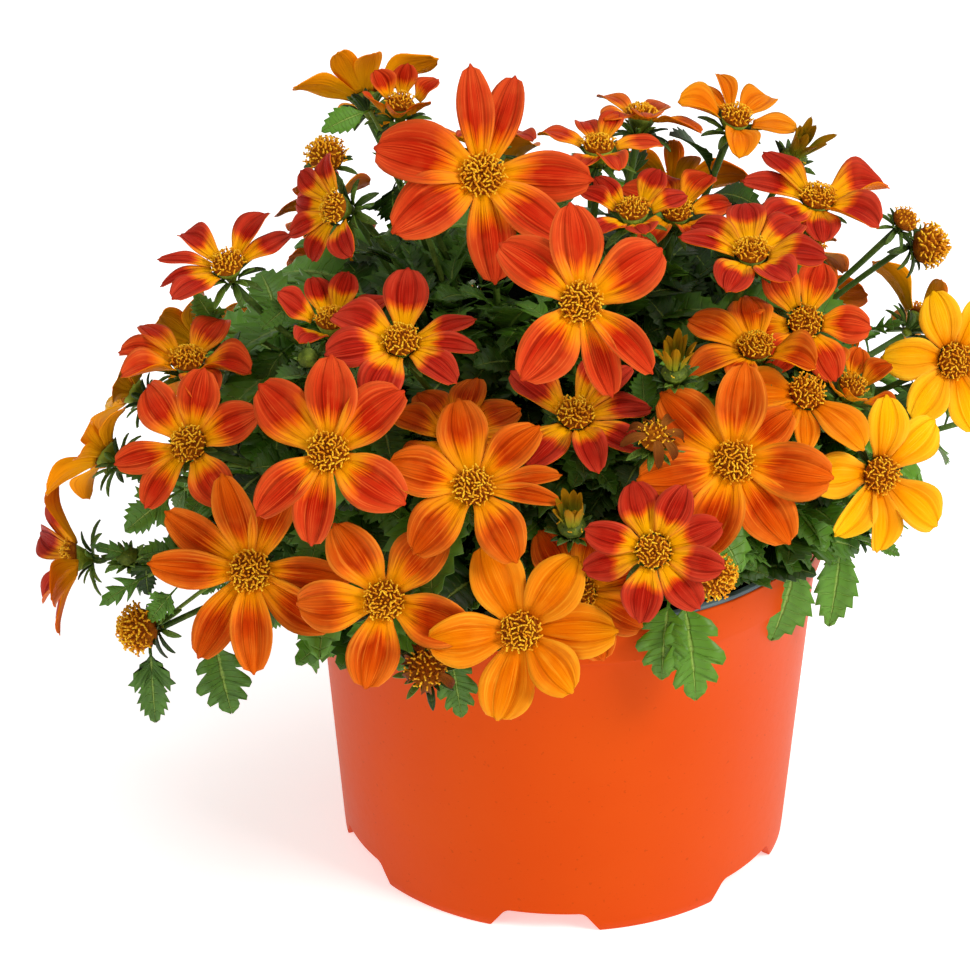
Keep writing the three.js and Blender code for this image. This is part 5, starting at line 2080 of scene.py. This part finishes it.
@dataclass
class Stalks:
    """The stems, and the stalks with their green cups that carry blooms and heads."""

    masters: Masters
    ground: Ground
    stem_knots: tuple = ((1.0, 68.0), (1.0, 84.0), (1.08, 97.0), (0.9, 122.0))
    stem_radii: tuple[float, ...] = (2.0, 2.0, 1.9, 1.6)
    mouth_below: float = 0.4
    bloom_radii: tuple[float, ...] = (1.0, 0.95, 0.85, 0.8, 1.0)
    head_radii: tuple[float, ...] = (1.0, 0.9, 0.8, 0.75, 0.85)

    def build(self, palette: Palette) -> None:
        """Makes one piece of stalks for each leafy stem."""
        tube = self.masters.tube
        involucre = Involucre(self.masters)
        clusters = [Cluster() for _ in range(self.ground.count)]
        for region, cluster in enumerate(clusters):
            place = self.ground.stem_place(region)
            knots = [place * spread + UP * height for spread, height in self.stem_knots]
            cluster.add(swept(tube, smooth_path(knots, 12), self.stem_radii), 0.3)
        for index, bloom in enumerate(BLOOMS):
            draw = Draw(9001 + 17 * index)
            cluster = clusters[self.ground.of(bloom.cup_base)]
            path = stalk_path(bloom.cup_base, bloom.axis, self.ground)
            cluster.add(swept(tube, path, self.bloom_radii), draw())
            mouth = bloom.centre - bloom.axis * self.mouth_below
            involucre.add(cluster, mouth, bloom.axis, 1.0, draw.between(0.5, 0.8), draw)
        for index, head in enumerate(HEADS):
            draw = Draw(5003 + 19 * index)
            path = stalk_path(head.base, head.axis, self.ground)
            clusters[self.ground.of(head.centre)].add(swept(tube, path, self.head_radii), draw())
        finishes = palette.of(STALK_SKIN, CUP_SKIN, BRACT_SKIN)
        for region, cluster in enumerate(clusters):
            name = stem_name(region)
            show(cluster.build(f"{name}_stalks", finishes), "foliage", name)


@dataclass(frozen=True)
class HeadStyle:
    """How a kind of head is dressed: its bracts' size and spread, its disc and the disc's share of it.

    The strips are withered or unfolding petals: how many there are, their half width, their finish
    and the ranges of their lean, length and curl.
    """

    bracts: float
    spread: float
    disc: tuple[float, ...]
    share: float
    slots: tuple[int, int, int] = (3, 4, 5)
    rise: float = 0.0
    strips: int = 0
    half: float = 0.0
    finish: int = 6
    lean: tuple[float, float] = (0.0, 0.0)
    length: tuple[float, float] = (0.0, 0.0)
    curl: tuple[float, float] = (0.0, 0.0)


HEAD_STYLE = {
    HeadKind.SEED: HeadStyle(0.82, 0.85, (96, 4.4, 0.1, 1.5), 1.05),
    HeadKind.TIGHT: HeadStyle(0.9, 0.8, (80, 3.4, 0.8, 0.5), 1.0),
    HeadKind.BUD: HeadStyle(0.95, 0.1, (34, 3.0, 1.2, 0.3), 0.72, (4, 1, 1), 1.5),
    HeadKind.OPENING: HeadStyle(
        0.95, 0.15, (40, 2.6, 0.9, 0.4), 0.8, (3, 1, 1), 0.0, 9, 1.25, 6, (62, 86), (6.5, 10), (-25, 15)
    ),
    HeadKind.DRIED: HeadStyle(
        0.9, 0.55, (56, 3.4, 0.3, 1.1), 0.98, (3, 4, 5), 0.0, 7, 1.3, 7, (-10, 40), (6, 9), (60, 150)
    ),
}


@dataclass
class Heads:
    """Buds, seed heads and spent blooms, as one piece each."""

    masters: Masters
    ground: Ground
    full_size: float = 4.6
    foot_share: float = 0.45

    def strip(
        self, head: Head, turn: float, lean: float, length: float, half: float, curl: float
    ) -> Pattern:
        """Bends a master petal into a narrow strip, for an opening bud or a dried bloom.

        Args:
            head: what it grows from.
            turn: its angle about the head, in radians.
            lean: its rise above the head's plane at its root, in degrees.
            length: its length.
            half: its half width.
            curl: how far it bends from root to tip, in degrees.

        Returns:
            The placed strip.
        """
        first, second = plane_of(head.axis, (0.31, 0.52, 0.79))
        way = first * math.cos(turn) + second * math.sin(turn)
        side = np.cross(head.axis, way)
        flat = self.masters.petal.points
        bend = math.radians(curl)
        start = math.radians(lean)
        swing = start - bend * flat[:, 1:2] / PETAL_LENGTH
        out = head.radius * self.foot_share + length * (np.sin(start) - np.sin(swing)) / bend
        up = length * (np.cos(swing) - np.cos(start)) / bend
        across = flat[:, :1] / PETAL_HALF
        above = flat[:, 2:3] * half / PETAL_HALF + 0.55 * half * across**2
        points = head.centre + way * (out - np.sin(swing) * above) + head.axis * (up + np.cos(swing) * above)
        return self.masters.petal.moved(points - side * across * half)

    def dress(self, cluster: Cluster, head: Head, draw: Draw) -> None:
        """Adds a head's parts to a cluster."""
        style = HEAD_STYLE[head.kind]
        scale = head.radius / self.full_size
        low = head.centre - head.axis * head.radius * self.foot_share
        mouth = low + head.axis * style.rise
        Involucre(self.masters).add(cluster, mouth, head.axis, style.bracts * scale, style.spread, draw)
        disc = Disc(self.masters, *style.disc)
        disc.add(cluster, low, head.axis, head.radius * style.share, draw, style.slots)
        for index in range(style.strips):
            turn = index * math.tau / style.strips + draw.between(-0.2, 0.2)
            lean = draw.between(*style.lean)
            length = draw.between(*style.length)
            strip = self.strip(head, turn, lean, length, style.half, draw.between(*style.curl))
            cluster.add(strip.moved_to(style.finish), draw())

    def build(self, palette: Palette) -> None:
        """Makes the heads."""
        finishes = palette.of(
            STALK_SKIN, CUP_SKIN, BRACT_SKIN, FLORET_ARM, FLORET_TUBE, DISC_BED, YOUNG_SKIN, DRY_SKIN
        )
        for index, head in enumerate(HEADS):
            cluster = Cluster()
            self.dress(cluster, head, Draw(6007 + 23 * index))
            name = f"head_{index + 1:02d}_{head.kind.value}"
            show(cluster.build(name, finishes), "foliage", stem_name(self.ground.of(head.centre)))


# The stage


@dataclass
class Studio:
    """The camera where the photograph was taken, a pale floor and soft light."""

    target: tuple[float, float, float] = (-20.3, 0.0, 96.3)
    distance: float = 1300.0
    pitch: float = 28.3
    focal_pixels: float = 5187.0
    frame_pixels: float = 971.0
    sensor: float = 36.0
    floor_glow: float = 0.5
    backdrop_glow: float = 0.42
    backdrop_colour: tuple = (1.0, 0.99, 0.97, 1.0)

    def build(self) -> None:
        """Sets up the camera, the floor and the lights."""
        self.place_camera()
        self.lay_floor()
        world = bpy.data.worlds.new("studio_light")
        world.use_nodes = True
        backdrop = world.node_tree.nodes["Background"]
        backdrop.inputs["Color"].default_value = self.backdrop_colour
        backdrop.inputs["Strength"].default_value = self.backdrop_glow
        bpy.context.scene.world = world
        self.hang_light("key", (0.80, -0.55, 0.85), 0.45, 10.0, (1.0, 0.98, 0.95))
        self.hang_light("fill", (-0.85, -0.7, 0.60), 0.7, 2.6, (1.0, 1.0, 1.0))
        self.hang_light("top", (0.0, 0.25, 1.2), 0.6, 3.4, (1.0, 1.0, 1.0))
        bpy.context.scene.view_settings.view_transform = "Standard"
        bpy.context.scene.view_settings.look = "None"

    @property
    def forward(self) -> np.ndarray:
        """Returns the way the camera looks."""
        return vec(0, math.cos(math.radians(self.pitch)), -math.sin(math.radians(self.pitch)))

    def spot(self, across: float, down: float, depth: float) -> np.ndarray:
        """Returns the place that the photograph shows at a pixel.

        Args:
            across: the pixel's column.
            down: the pixel's row.
            depth: how far behind the pot's middle the place lies, in millimetres.
        """
        right = vec(1, 0, 0)
        above = np.cross(right, self.forward)
        eye = np.array(self.target) - self.forward * self.distance
        middle = self.frame_pixels / 2
        ray = self.forward * self.focal_pixels + right * (across - middle) + above * (middle - down)
        return eye + ray * (depth - eye[1]) / ray[1]

    def place_camera(self) -> None:
        """Stands the camera at the photograph's own height and distance."""
        lens = bpy.data.cameras.new("camera")
        lens.sensor_width = self.sensor
        lens.lens = self.focal_pixels * self.sensor / self.frame_pixels
        lens.clip_start = 0.05
        lens.clip_end = 20.0
        camera = bpy.data.objects.new("camera", lens)
        camera.location = (Vector(self.target) - Vector(self.forward) * self.distance) * MM
        camera.rotation_euler = (math.radians(90 - self.pitch), 0, 0)
        bpy.context.scene.collection.objects.link(camera)
        bpy.context.scene.camera = camera

    def lay_floor(self) -> None:
        """Lays the pale floor."""
        bpy.ops.object.select_all(action="DESELECT")
        bpy.ops.mesh.primitive_plane_add(size=8.0)
        floor = bpy.context.active_object
        floor.name = "floor"
        tree = Tree("floor_pale")
        grain = tree.noise(tree.here(), 3.0, 2.0)
        pale = tree.mix(grain, paint("FAFAFA"), paint("FFFFFF"))
        glow = {"Emission_Color": (1.0, 1.0, 1.0, 1.0), "Emission_Strength": self.floor_glow}
        tree.surface(pale, 0.9, Specular_IOR_Level=0.1, **glow)
        floor.data.materials.append(tree.material)

    def hang_light(
        self, name: str, place: tuple[float, float, float], size: float, power: float, colour: tuple
    ) -> None:
        """Hangs a soft square light that faces the bush.

        Args:
            name: its name.
            place: where it hangs, in metres.
            size: its side, in metres.
            power: its power, in watts.
            colour: its colour.
        """
        lamp = bpy.data.lights.new(name, "AREA")
        lamp.size = size
        lamp.energy = power
        lamp.color = colour
        hung = bpy.data.objects.new(name, lamp)
        hung.location = place
        aim = Vector((0, 0, 0.12)) - Vector(place)
        hung.rotation_euler = aim.to_track_quat("-Z", "Y").to_euler()
        bpy.context.scene.collection.objects.link(hung)


def main() -> None:
    """Builds the scene from the camera inwards."""
    logging.basicConfig(level=logging.INFO, format="%(message)s")
    studio = Studio()
    studio.build()
    palette = Palette()
    masters = Masters()
    ground = Ground()
    pot = Pot()
    pot.build(palette)
    Soil().build(palette, masters, pot)
    Thicket().build(palette, ground)
    Foliage(ground, studio).build(palette, masters)
    Stalks(masters, ground).build(palette)
    Blooms(masters).build(palette)
    Heads(masters, ground).build(palette)


if __name__ == "__main__":
    main()
